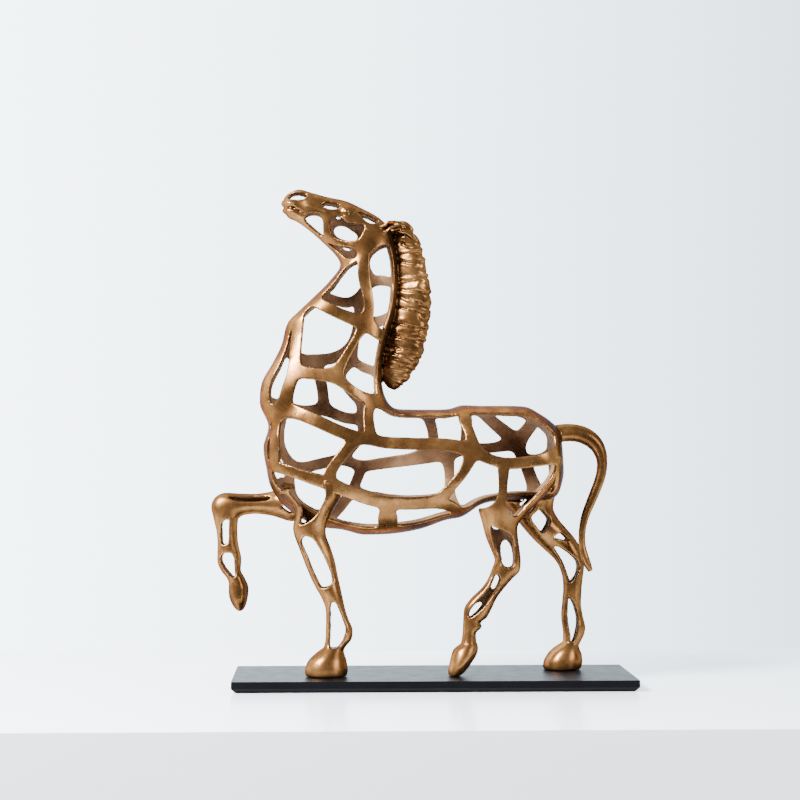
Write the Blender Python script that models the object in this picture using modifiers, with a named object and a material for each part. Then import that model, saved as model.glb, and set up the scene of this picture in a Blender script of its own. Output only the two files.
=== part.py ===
"""Openwork horse on a black base plate.

The horse is one hollow casting: a trunk, neck and head shell and four limb shells, all pierced
by rounded openings between flat bands, with a pleated mane, laid back ears, a curved tail and
solid hooves.  It stands on a separate bevelled plate.

The side view is drawn in units of one thousandth of DRAWN_HEIGHT.  In it x runs from the nose
(minus) to the tail (plus), z is the height over the underside of the plate, and y is the depth,
minus on the horse's left side.
"""
import math

import bmesh
import bpy
import numpy as np
from mathutils import Vector
from mathutils.geometry import delaunay_2d_cdt

# Driving sizes in metres
HORSE_HEIGHT = 0.3914
WALL = 0.0028
PLATE_LENGTH = 0.320
PLATE_WIDTH = 0.110
PLATE_HEIGHT = 0.009
PLATE_CHAMFER = 0.0035
SEAT_GAP = 0.0003

# The drawing: its ground line, its full height over that line, and the size of one unit
DRAWN_GROUND = 9.0
DRAWN_HEIGHT = 391.4
UNIT = HORSE_HEIGHT / DRAWN_HEIGHT

# Fineness of the surface, in drawing units, and the number of facets left at the end
MESH_STEP = 5.0
RIM_STEP = 3.2
DETAIL_STEP = 1.0
FUSE_STEP = 1.25
HORSE_FACES = 9700

# Openings: how far a corner is rounded, the smallest opening that is cut, the longest mitre of a
# corner, and the sine of the turn below which two sides count as one line
FILLET = 5.0
SMALLEST_OPENING = 14.0
LONGEST_MITRE = 16.0
STRAIGHT = 0.12
FULLNESS = 0.86

# Trunk, neck and head: top point, bottom point, half width, rim at the top and at the bottom
BODY = [
    (104.5, 204, 107, 170, 0, 7, 7),
    (97, 211.5, 101.2, 152.5, 29, 6.5, 4.5),
    (87, 218.5, 90, 148.5, 38, 6, 4.5),
    (74, 224.5, 75, 149, 41, 6, 4.5),
    (57, 225, 57, 148, 41.5, 6, 4),
    (41, 225, 40, 145, 41.5, 6, 4),
    (25, 225.5, 24, 135, 41, 6, 4),
    (12, 222.3, 10, 132, 41.5, 5.5, 4.5),
    (-4, 221.9, -11, 124.8, 42, 5, 5),
    (-19, 222, -37, 120.8, 42, 5, 6),
    (-30, 222.8, -55, 120.4, 41, 5, 6),
    (-35.5, 227, -73, 124.5, 40, 6, 5),
    (-39, 234, -95, 128, 39, 6, 9),
    (-41, 243, -118, 142, 38, 4.5, 9),
    (-41.5, 252, -130.5, 158, 37, 4, 4),
    (-40.5, 262, -134.5, 174, 36, 4, 3),
    (-38.5, 271, -137, 191, 34, 4.5, 2.6),
    (-36, 280, -133, 208, 32, 5, 3),
    (-33.5, 289, -140, 227, 29.5, 4.5, 7),
    (-31, 298, -138.5, 243, 27, 4, 6.5),
    (-29.5, 307, -129.5, 259.5, 25, 3.8, 6),
    (-28.5, 316, -122.5, 274, 24, 3.8, 5),
    (-28, 325, -118, 291, 23, 3.8, 4),
    (-28, 334, -109, 301, 22, 3.8, 4.5),
    (-28.5, 343, -98.5, 311, 21.5, 4, 4.5),
    (-30, 352, -84.5, 325, 21, 4.5, 4.8),
    (-32, 361, -75, 339, 20, 5, 4.5),
    (-35.5, 369.5, -79, 347, 19, 5, 4),
    (-44, 378, -84.5, 352.8, 18, 5, 4.5),
    (-57, 385, -90, 358, 16.5, 5, 4.5),
    (-70, 391, -96.5, 363.8, 14.5, 4, 4),
    (-84, 394, -103, 369, 12.5, 4, 3.5),
    (-97, 397.5, -110, 373.8, 11.5, 4, 3),
    (-108, 400.4, -117, 377, 10.5, 4, 3),
    (-116.6, 397.4, -120, 382.2, 8, 4, 3),
    (-120.8, 393, -121, 387.4, 0, 3, 3),
]

# Joints inside the outline: x, z and half the width of the bands that meet there
NECK_JOINTS = {
    "throat": (-67, 341, 2.8), "n1": (-57.5, 349, 5.4), "n2": (-56.2, 338, 5), "n3": (-56, 328, 5),
    "n4": (-53.2, 316, 4.4), "n5": (-51.2, 304, 4), "mid": (-54.5, 290.5, 6),
    "back": (-43, 281.7, 4.2), "poll2": (-45, 356, 3.6),
    "f1": (-84.5, 302.3, 4.6), "f2": (-72.5, 296.7, 4.6),
    "d1": (-61, 280, 3), "d2": (-67.3, 269.3, 3.2), "d3": (-73, 259.3, 3.6),
    "low": (-79, 248.5, 6), "u1": (-108.8, 293, 4.3), "u2": (-110.3, 279, 4.3),
    "u3": (-111.2, 266, 4.5), "u4": (-111.5, 252.5, 5.6), "h1": (-96, 249.5, 4.5),
    "w1": (-70, 240.2, 3.8), "w2": (-60, 232.8, 3.8), "w3": (-49, 229, 5),
}
CHEST_JOINTS = {
    "c1": (-116.2, 239, 4.6), "breast": (-120.5, 222, 6.5), "c2": (-131, 219, 5),
    "a1": (-108, 218.3, 5), "a2": (-92, 211.5, 5.2), "a3": (-77, 204.5, 5), "a4": (-62, 199, 5.2),
    "v1": (-52.5, 219, 4.2), "v2": (-52, 209, 4.4), "v3": (-50, 198, 4.8),
    "k1": (-127.6, 212, 3.6), "k2": (-128, 198, 3.4), "k3": (-127.4, 184, 4),
    "k4": (-128.5, 175.7, 4.2), "l1": (-118, 173.2, 4.3), "l2": (-107, 169.4, 4.2),
    "l3": (-96, 166, 5), "elbow": (-83.5, 162.5, 5.6), "e1": (-69.5, 190, 4.4),
    "e2": (-76.5, 181, 4.3), "e3": (-82.6, 172.5, 4.4),
}
BARREL_JOINTS = {
    "m1": (-40, 195.2, 4.6), "m2": (-15, 194.4, 4.8), "m3": (10, 194, 4.8), "hip": (30.5, 189, 6),
    "g1": (27.8, 204, 3.8), "g2": (23.5, 214, 4.6), "q1": (23, 171, 3.8), "q2": (13.5, 160, 3.8),
    "flank": (3, 147.3, 4.8), "p1": (-69.5, 156.3, 5), "p2": (-53, 149.8, 4.8),
    "p3": (-38, 146.8, 5), "p4": (-18, 146.2, 5), "keel": (-37, 133, 8.5), "fold": (15, 143, 4),
    "r1": (42, 181.8, 4.2), "point": (57, 177.6, 4.6), "r2": (75, 179.5, 4.6),
    "r3": (89, 182, 5.2),
}
LEFT_BANDS = [
    "t26 poll2 n1 throat b26", "n1 n2 n3 n4 n5 mid back t17", "b24 f1 f2 mid",
    "mid d1 d2 d3 low h1 u4", "b23 u1 u2 u3 u4 c1 breast c2 b18",
    "low w1 w2 w3 t11", "w3 v1 v2 v3", "breast a1 a2 a3 a4 v3", "breast k1 k2 k3 k4 b15",
    "k4 l1 l2 l3 elbow", "a4 e1 e2 e3 elbow", "v3 m1 m2 m3 hip",
    "hip g1 g2 t6", "hip q1 q2 flank", "elbow p1 p2 p3 p4 flank fold b6", "p3 keel b9",
    "hip r1 point r2 r3 end",
]
FAR_JOINTS = {
    "x1": (-86, 314.5, 4), "x2": (-70, 309, 4), "x3": (-59, 314, 4.4), "x4": (-54, 322, 4),
    "x5": (-48, 327.5, 4.6), "x6": (-40, 328, 4.2), "x7": (-53.5, 336, 4), "x8": (-55.5, 348, 5),
    "x9": (-66, 343.5, 3.4), "x10": (-59.5, 298, 4), "x11": (-46, 293, 4.6),
    "y1": (-62, 283, 3.6), "y2": (-68, 272, 4), "y3": (-80, 264.5, 4.6), "y4": (-95, 263, 5),
    "y5": (-108, 262.5, 5.2), "y6": (-64, 262.5, 3.4), "y7": (-55, 256.8, 3.8),
    "y8": (-75.5, 250, 3.6), "y9": (-66, 237, 4), "y10": (-56, 229, 4.6), "y11": (-45, 231, 5),
    "c3": (-119, 241, 4), "c4": (-122, 224, 5), "j1": (-105, 221.5, 4), "j2": (-88, 223, 5),
    "j3": (-89.5, 240, 4.6), "j4": (-72, 215.5, 4.6), "j5": (-56, 214.5, 4.8),
    "j6": (-55, 203, 4.4), "j7": (-63, 193, 4), "z1": (-125.5, 210, 4), "z2": (-126, 192, 4),
    "z3": (-117, 178, 3.6), "z4": (-107, 173.4, 4.6), "z5": (-91, 177.5, 4.8),
    "z6": (-73, 181.5, 4.4), "z7": (-57, 175, 4.6), "z8": (-40, 178, 5),
    "z9": (-12, 181.5, 5.2), "z10": (14, 186.5, 6.4), "z11": (3, 193, 4.8), "z12": (2, 206, 4.2),
    "z13": (-60, 166, 4.4), "z14": (-65, 154, 4.4), "z15": (-76, 140, 4.6),
    "z16": (-30, 147, 3.6), "z17": (0, 147, 4), "z18": (16.5, 170, 4), "z19": (16, 150, 4.4),
    "z20": (30, 190, 5), "z21": (-124, 163, 3.4), "z22": (-117, 160, 4.2),
    "i1": (30, 214, 4.6), "i2": (52, 190.5, 4.2), "i3": (73, 195.5, 6.5),
    "i4": (50, 214, 4.6), "i5": (83, 209, 5.5), "i6": (77, 181, 4.6), "i7": (92, 181, 4.2),
}
RIGHT_BANDS = [
    "t26 poll2 x8 x9 b26", "b24 x1 x2 x3 x4 x5 x6 t22", "x5 x7 x8", "x3 x10 x11 t19",
    "x10 y1 y2 y3 y4 y5 b21", "y1 y6 y7 t14", "y6 y8 y9 y10 y11 t12", "y5 c3 c4 b18",
    "y4 j3 j2 j1 c4", "j2 j4 j5 y10", "j5 j6 j7 z6", "c4 z1 z2 b16",
    "z2 z3 z4 z5 z6 z7 z8 z9 z10 z20", "b14 z21 z22 z3", "z22 b13", "z7 z13 z14 z15 b12",
    "z14 z16 z17 z19", "z9 z11 z12 t8", "z10 z18 z19 b6", "z20 i1 t6", "z20 i2 i3 i4 t5",
    "i3 i5 t2", "i3 i6 i7 end",
]
# A point inside each field that stays a solid plate
PLATES = [(-60, 380)]
# Openings of the head, each drawn as a ring of points
NOSTRIL = [(-118.4, 392.4), (-116.4, 396), (-111.5, 397.9), (-105.6, 397.4), (-101.4, 395.4),
           (-103, 392.2), (-106, 391), (-112, 390.9)]
BRIDGE = [(-90.4, 386), (-88.6, 388.3), (-85, 389.4), (-79.8, 388.6), (-75, 387), (-74.6, 385),
          (-79, 382.8), (-85, 383.4)]
BIT = [(-104.2, 374.8), (-103.2, 377.7), (-99.9, 379.7), (-95.6, 380.2), (-91.3, 379.2),
       (-88.9, 376.5), (-89.2, 364), (-88.4, 360.6), (-91.5, 362), (-96, 365.8), (-102.6, 371.8)]
CHEEK = [(-84.1, 368), (-83.7, 373), (-81.9, 375.9), (-78, 377.4), (-74.4, 376.8), (-70.5, 372.2),
         (-63.3, 371.3), (-56, 370.8), (-54.9, 368), (-58.3, 361), (-61.5, 357.2), (-70.5, 356.9),
         (-77, 358.1), (-82, 361.2)]
TEMPLE = [(-62.4, 382.4), (-50.3, 378.4), (-42.6, 374.2), (-46, 371.8), (-51.4, 371.4),
          (-55.6, 374.8)]
JAW = [(-86.8, 356.4), (-81, 354.2), (-75.5, 352.6), (-65.4, 351.6), (-61.8, 349), (-61.8, 344),
       (-66, 342.8), (-71.6, 343.6), (-75.8, 347.2), (-80.8, 351.6)]
FAR_CHEEK = [(-80.8, 367.5), (-79, 371.2), (-74.6, 372.7), (-70.2, 371.9), (-65.8, 368.7),
             (-61.4, 366.1), (-60.5, 363.5), (-62.4, 360.2), (-70.2, 360.2), (-78, 362.4)]
FAR_LID = [(-80, 378), (-77, 380), (-73.6, 380.2), (-75.4, 378.2)]
FAR_JAW = [(-81.6, 356.4), (-77.5, 354.1), (-72.2, 347.4), (-75.3, 349.3), (-79.6, 353.6)]
FAR_THROAT = [(-75.2, 354.4), (-66, 353.6), (-67, 352), (-72, 351.6)]
LEFT_HEAD = [NOSTRIL, BRIDGE, BIT, CHEEK, TEMPLE, JAW]
RIGHT_HEAD = [NOSTRIL, BRIDGE, BIT, FAR_CHEEK, FAR_LID, TEMPLE, FAR_JAW, FAR_THROAT]

# Relief of the face, raised or sunk along a line: start, end, half width, height
FACE = [
    (-70.4, 381.3, -69, 381.5, 2.5, 2.6), (-74.6, 384.6, -65.4, 384.8, 1.5, 1.3),
    (-75.4, 379.4, -72.4, 378.2, 1.3, -1.0), (-66.6, 379.6, -64.4, 381.6, 1.3, -1.0),
    (-120.8, 385.2, -112.9, 384.3, 0.9, -1.9), (-112.9, 384.3, -107.9, 382, 0.9, -1.6),
    (-107.9, 382, -103.6, 379.6, 0.8, -1.0), (-119, 388.2, -112, 387.4, 1.9, 1.5),
    (-118.4, 381.8, -112.6, 380.4, 1.9, 1.6), (-101, 385.6, -86, 380.6, 2.2, 0.9),
    (-113, 389.2, -105, 389, 1.0, -0.7),
]

# Limb shells: front point, back point, half width, depth of the middle
LEFT_FORE = [
    (-124, 154, -68, 172, 19, -19.5), (-117.5, 150, -70, 163, 18.5, -19.5),
    (-112, 144.5, -74.6, 151, 17.5, -20), (-110.6, 139, -81, 140.5, 15.5, -20.3),
    (-111.6, 133, -85, 133, 14, -20.7), (-112.6, 127, -86.3, 126, 12.5, -21),
    (-111.3, 120, -86, 121, 11.5, -21), (-108.4, 112.5, -83, 113, 10.5, -21),
    (-104, 101, -79.2, 101.5, 10, -20.5), (-99, 88.5, -76.5, 88.5, 9.6, -20),
    (-94.3, 79, -74.4, 79, 9.6, -20), (-90, 71.5, -72.7, 71.5, 9, -20),
    (-86.8, 63, -70.8, 63, 8, -20), (-86.2, 54, -68, 54, 7.6, -20),
    (-86.5, 46, -64.6, 45.5, 7.8, -20), (-86.6, 39, -65.4, 38.5, 7.8, -20),
    (-88, 31.5, -71, 31.5, 8, -20), (-89, 28, -72, 28, 8, -20),
]
LEFT_FORE_OPENINGS = [
    ("L", [(-117, 190), (-50, 190), (-50, 158), (-70, 158.4), (-79, 161), (-88, 165),
           (-87, 158), (-85.2, 153.4), (-89, 143.3), (-95, 135.2),
           (-102.1, 130.7), (-107.4, 129.4), (-107.2, 134), (-105.8, 141), (-109.6, 147.6),
           (-115.4, 153.4), (-118.4, 164)]),
    ("R", [(-117, 190), (-55, 190), (-62, 163), (-76, 152), (-86, 141), (-95, 134.4),
           (-102.1, 130.9), (-107.4, 130.4), (-107.2, 134), (-105.8, 141), (-109.6, 147.6),
           (-115.4, 153.4), (-118.4, 164)]),
    ("LR", [(-107.6, 115), (-103.6, 121), (-96.6, 119.4), (-91, 111.5), (-85, 101), (-79, 86),
            (-82, 80.6), (-90.6, 78.6), (-95, 86), (-101.6, 103)]),
    ("LR", [(-84.2, 64.6), (-80, 69.2), (-75.8, 65.2), (-70.8, 53), (-68.8, 45.5), (-74, 31.8),
            (-84.6, 31.2), (-83.6, 48)]),
]
LEFT_HIND = [
    (30, 182, 103.5, 184, 21, -19.5), (28, 170, 101, 171, 21.5, -19.5),
    (31, 158, 94, 158.5, 20.5, -20), (34, 148, 84.5, 148, 19, -21),
    (35.8, 139.8, 76, 139.8, 16.5, -21.5), (38.4, 131.5, 68.5, 131, 14.5, -21),
    (40.2, 124, 67, 124.5, 13, -21), (42.4, 117, 67.8, 117, 12, -20.5),
    (46, 108.5, 69, 108.5, 11, -20), (48.6, 101, 69.8, 101, 10, -20),
    (46.4, 94, 69.2, 93, 9.5, -20), (43.2, 86, 62.5, 85.5, 9, -20),
    (38, 78.5, 56, 78, 8.5, -20), (30, 71, 50.5, 70.5, 8, -20), (24.6, 63.5, 46.8, 63, 8, -20),
    (23.5, 56, 42.5, 55, 7.6, -20), (23.2, 50.5, 37.4, 51, 7.4, -20),
    (23, 47, 38.8, 47.6, 7.4, -20), (22.8, 43, 33.8, 42.5, 7.4, -20),
    (22, 36.5, 34, 36.5, 7.8, -20), (20, 31, 34, 31, 8, -20),
]
LEFT_HIND_OPENINGS = [
    ("L", [(10, 200), (48.4, 200), (49.3, 175), (50.3, 164), (50.2, 156), (47.5, 148), (42, 143.8),
           (36, 142), (20, 141.6), (10, 142)]),
    ("L", [(59.6, 200), (59, 173), (57.4, 163), (57, 152), (57, 142), (64.8, 134.2), (70.5, 141),
           (79.8, 150.6), (87.6, 158.6), (94.4, 167), (97.8, 175), (99.5, 200)]),
    ("R", [(10, 200), (98, 200), (97.8, 175), (94.4, 167), (87.6, 158.6), (79.8, 150.6), (70.5, 141),
           (64.8, 134.2), (57, 138), (46, 140.6), (36, 141.6), (10, 142)]),
    ("L", [(43.4, 129.2), (50, 126.6), (58, 123.6), (63.5, 118.8), (65.4, 108), (65.3, 98.6),
           (61, 94), (54.6, 97), (50.6, 104.5), (46, 114.6)]),
    ("R", [(54.3, 114), (58.8, 117.3), (63.4, 113.2), (65.3, 104.5), (64.8, 96.8), (60.5, 94.2),
           (54.4, 97.4), (53.3, 106)]),
    ("R", [(45, 131), (50, 128.6), (56, 126.6), (51, 124.4), (46.4, 126)]),
    ("L", [(47.6, 91.4), (52.2, 89), (53.2, 85), (49, 74.4), (39, 61.8), (28.4, 54.6),
           (26.2, 58.6), (29.6, 65), (38.4, 73.6), (44, 81.6)]),
    ("R", [(49, 90.6), (53, 86.4), (51.6, 80), (49, 76), (45.4, 79.2), (47, 85.4)]),
    ("R", [(26.2, 58.4), (29.4, 64), (35.6, 67.4), (40, 66.4), (36, 60.6), (28, 54.8)]),
]
RIGHT_HIND = [
    (48, 182, 105.5, 184, 20, 19.5), (48, 170, 107, 171, 20.6, 20),
    (51, 158, 104, 159, 20.5, 20.5), (56, 149, 101.8, 150, 19.5, 21),
    (62.5, 140.6, 100.6, 141.6, 18, 21.5), (69.5, 132.5, 104.4, 133, 16, 21.5),
    (76, 124.5, 111, 125, 14.5, 21), (84, 115.5, 117.5, 117.5, 13, 21),
    (93, 107, 122.5, 109.5, 11.8, 21), (101.5, 99, 125.6, 101, 10.6, 21),
    (106, 91, 126, 92.5, 9.8, 21), (108.2, 82.5, 124.8, 83, 9.4, 21),
    (108.6, 74, 123.9, 74.5, 9, 21), (107.6, 63.5, 123.5, 63, 8, 21),
    (106.8, 53, 124.9, 52.5, 7.6, 21), (107.5, 45.5, 127, 43.5, 7.8, 21),
    (108.4, 38.5, 125.6, 36.5, 7.8, 21), (108.2, 30.5, 121.4, 28.5, 8, 21),
]
RIGHT_HIND_OPENINGS = [
    ("R", [(30, 200), (69, 200), (73, 182), (76, 172), (81.3, 158), (79, 152.8), (66, 151.8),
           (56, 152), (30, 153)]),
    ("R", [(83.6, 200), (85.4, 177), (90.8, 163.6), (95.4, 155.8), (100, 161.5), (103.6, 172),
           (103.6, 200)]),
    ("L", [(30, 200), (103, 200), (103.4, 172), (100, 160), (95, 151), (84, 147), (66, 147),
           (30, 148)]),
    ("LR", [(69.6, 144.6), (76, 147.6), (84.6, 148.4), (84, 143), (77.8, 136.2)]),
    ("LR", [(79.4, 132.9), (88.5, 141.8), (97.2, 133.6), (96.8, 129.4), (90, 119.4)]),
    ("LR", [(98.4, 117), (104.9, 121.6), (109.4, 120.2), (113.8, 114.4), (106, 115.6)]),
    ("LR", [(98.8, 109.2), (102, 110.3), (108, 107.6), (115, 102.8), (120.8, 97.8), (121.9, 92),
            (119.4, 85), (113.2, 79.6), (110.3, 85), (106.8, 96)]),
    ("LR", [(111.2, 69.4), (116.6, 64), (119.6, 56.6), (121.1, 48.4), (117, 31), (112.8, 31),
            (113.2, 38), (110.6, 47), (110.5, 58)]),
]
RIGHT_FORE = [
    (-106, 162, -102, 134, 12.5, 15), (-118, 158, -114, 130.5, 12, 18.5),
    (-131.5, 155, -130, 134.8, 11.5, 21), (-145, 153.2, -144, 136.6, 11, 21),
    (-158, 153.6, -153, 135.6, 10.6, 21), (-168, 154.2, -157, 133.6, 10.4, 21),
    (-176.4, 151, -158, 132, 10.2, 21), (-180.3, 143, -158.3, 128.6, 10, 21),
    (-178.6, 134, -158.6, 123, 9.6, 21), (-175.8, 122, -158.2, 115, 9.2, 21),
    (-175, 110, -156.9, 108, 9, 21), (-175.3, 99, -155.2, 99.5, 8.8, 21),
    (-172.5, 91, -155.8, 91, 8.6, 21), (-167.5, 84.5, -152.6, 85, 8.4, 21),
    (-165.6, 80, -150.8, 80, 8.4, 21),
]
RIGHT_FORE_OPENINGS = [
    ("L", [(-123, 185), (-80, 185), (-80, 136.4), (-101, 136.4), (-112, 140), (-119.6, 144),
           (-122, 150)]),
    ("R", [(-115.5, 185), (-80, 185), (-80, 136.4), (-101, 136.4), (-111, 141), (-114.6, 150)]),
    ("L", [(-167.4, 151.6), (-150, 151.4), (-132.5, 152), (-131.2, 150), (-134.6, 147.6),
           (-150, 146.8), (-161.5, 147.8)]),
    ("LR", [(-124, 144.4), (-118.6, 143.4), (-113.6, 140.4), (-114, 136.4), (-119, 139.4)]),
    ("LR", [(-172.4, 128.4), (-169.6, 131.4), (-164.2, 133), (-164.9, 113.6), (-170.4, 111.2),
            (-172.4, 113.4)]),
    ("LR", [(-173, 101.6), (-170.4, 105), (-162.8, 105.3), (-159.9, 101.6), (-159, 85.6),
            (-163.8, 85.2), (-168.2, 90.8), (-172, 96.6)]),
]

# Solid forms: front point, back point, half width, depth of the middle
MANE = [
    (-37, 367, -24.5, 371.6, 6, 0), (-32.4, 359.5, -16.5, 366, 8.5, 0),
    (-30, 350.5, -10.6, 358, 10, 0), (-28.8, 340, -6.6, 345, 10.6, 0),
    (-28.8, 328, -3.6, 330, 11, 0), (-29.3, 316, -1.4, 315, 11, 0),
    (-31, 303, -1.8, 301, 11, 0), (-34, 290, -3.4, 288, 11, 0),
    (-37.5, 277, -6.2, 274.5, 11, 0), (-40.2, 266, -10.2, 262.5, 10.5, 0),
    (-41.8, 256, -17.2, 250, 9, 0), (-41.2, 247, -25.2, 241.2, 6.5, 0),
    (-36.6, 239.6, -30.6, 237.2, 2.6, 0),
]
MANE_PLEATS = 16
MANE_PLEAT_DEPTH = 0.09
MANE_FRONT_TAPER = 0.45
EAR = [
    (-50, 368.4, -49, 366.4, 1.2, -10.5), (-45, 369.2, -42, 363.8, 3, -12),
    (-40, 371, -38, 363.6, 3.6, -13), (-36, 373.8, -34.6, 366.6, 3.2, -13.8),
    (-31.5, 373.9, -30.6, 368.2, 2.4, -14.4), (-27, 372.8, -26.4, 369.6, 1.5, -14.8),
    (-23.6, 372.2, -23.8, 371.4, 0.5, -15),
]
UPPER_LIP = [
    (-123, 388.9, -123, 388.1, 1.2, 0), (-121.8, 391, -121.4, 386.2, 5.4, 0),
    (-118, 391.4, -117.6, 385.8, 8.8, 0), (-113, 390.4, -113, 385.6, 10.2, 0),
    (-108.5, 389, -108.5, 385, 9.4, 0),
]
LOWER_LIP = [
    (-122, 383.2, -122, 382.4, 1.2, 0), (-120.6, 384.8, -120.2, 380.4, 5.2, 0),
    (-116.5, 384.4, -116.2, 378.6, 8.6, 0), (-111.5, 382.8, -111.5, 377, 9.6, 0),
    (-107, 381, -107.2, 376.4, 8.6, 0),
]
# Curled locks at the top of the mane, behind the ears
LOCKS = [
    [(-35, 371.4, -33, 369.4, 1.4, -4), (-29.5, 374.4, -28, 369.4, 3.4, -6),
     (-23, 374.2, -23.4, 368.6, 4, -7.4), (-18, 371, -19.4, 366.4, 3.2, -8.4),
     (-15, 367, -16.4, 364.6, 1.2, -8.8)],
    [(-33, 366.4, -32, 364, 1.4, -6), (-27, 368.6, -26.6, 363.4, 3.4, -8.2),
     (-20, 367.4, -21, 361.8, 3.8, -9.4), (-14.6, 363, -16.4, 358.6, 2.8, -9.8),
     (-11.6, 358.4, -13.4, 356.4, 1.2, -9.6)],
]
LEFT_FORE_HOOF = [
    (-88.8, 31.4, -72, 31.4, 8, -20), (-94.6, 27, -71.4, 27, 10.8, -20),
    (-100.2, 21.5, -69.6, 21.5, 13.4, -20), (-102.9, 14.4, -68.6, 14.4, 14.8, -20),
    (-102.9, 11, -69, 11, 14.8, -20), (-101.4, 9, -70, 9, 14, -20),
]
RIGHT_HIND_HOOF = [
    (107.6, 31, 121.5, 30, 8, 21), (102, 27.6, 121.8, 26.6, 11, 21),
    (96.4, 22.6, 123.8, 21.6, 13.4, 21), (92.4, 15.6, 124.4, 15.6, 14.8, 21),
    (91.8, 11, 123.4, 11, 14.8, 21), (93.2, 9, 121.6, 9, 14, 21),
]
LEFT_HIND_HOOF = [
    (20.4, 33.6, 34.6, 35, 8.4, -20), (15.6, 29.8, 35.5, 31, 10.6, -20),
    (13.7, 24.6, 34.2, 25.4, 12.2, -20), (12.2, 17.8, 29.6, 18.2, 12.6, -20),
    (11.4, 12.6, 25.4, 12.8, 11.6, -20), (11.4, 10.2, 22.6, 10.2, 10, -20),
    (12.6, 9, 20.6, 9, 8.6, -20),
]
RIGHT_FORE_HOOF = [
    (-165.4, 83, -151.2, 82, 8.4, 21), (-165.9, 76, -149.3, 75.6, 9.4, 21),
    (-165.4, 69, -150, 68.4, 9.4, 21), (-163, 62.9, -151.4, 62.6, 7.8, 21),
    (-160.2, 59, -153.4, 58.8, 4.8, 21), (-157.6, 57.2, -155.8, 57.2, 1.4, 21),
]
# Tail: x, z and radius along its middle line
TAIL = [
    (98, 202, 7), (108, 203, 7.3), (117, 202.6, 7.1), (125, 200, 7), (131.6, 195.2, 6.4),
    (136, 188.4, 5.4), (138, 180, 4.4), (137.5, 171, 4.2), (135.2, 162.5, 4.1),
    (131.8, 154, 4), (128.2, 145.4, 3.8), (124.6, 136.4, 3.4), (122.4, 127.6, 3),
    (121.5, 118.6, 2.8), (122, 110, 3), (123.8, 102, 3.5), (126.6, 95, 3), (128.6, 90.6, 2),
]
RING_POINTS = 20


def place(x, y, z):
    """Drawing units to metres, with the hooves a small gap above the plate."""
    return Vector((x * UNIT, y * UNIT, PLATE_HEIGHT + SEAT_GAP + (z - DRAWN_GROUND) * UNIT))


def spline(rows, position):
    """Smooth value of a table of rows at a fractional row number, without overshoot."""
    rows = np.asarray(rows, float)
    last = len(rows) - 1
    i = min(int(position), last - 1)
    t = position - i
    slopes = []
    for k in (i, i + 1):
        before = rows[k] - rows[max(k - 1, 0)]
        after = rows[min(k + 1, last)] - rows[k]
        steep = 3 * np.minimum(np.abs(before), np.abs(after))
        mean = (before + after) / 2
        slopes.append(np.where(before * after > 0, np.clip(mean, -steep, steep), 0.0))
    a, b = rows[i], rows[i + 1]
    h1 = 2 * t ** 3 - 3 * t ** 2 + 1
    h2 = t ** 3 - 2 * t ** 2 + t
    h3 = -2 * t ** 3 + 3 * t ** 2
    h4 = t ** 3 - t ** 2
    return a * h1 + slopes[0] * h2 + b * h3 + slopes[1] * h4


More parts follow.
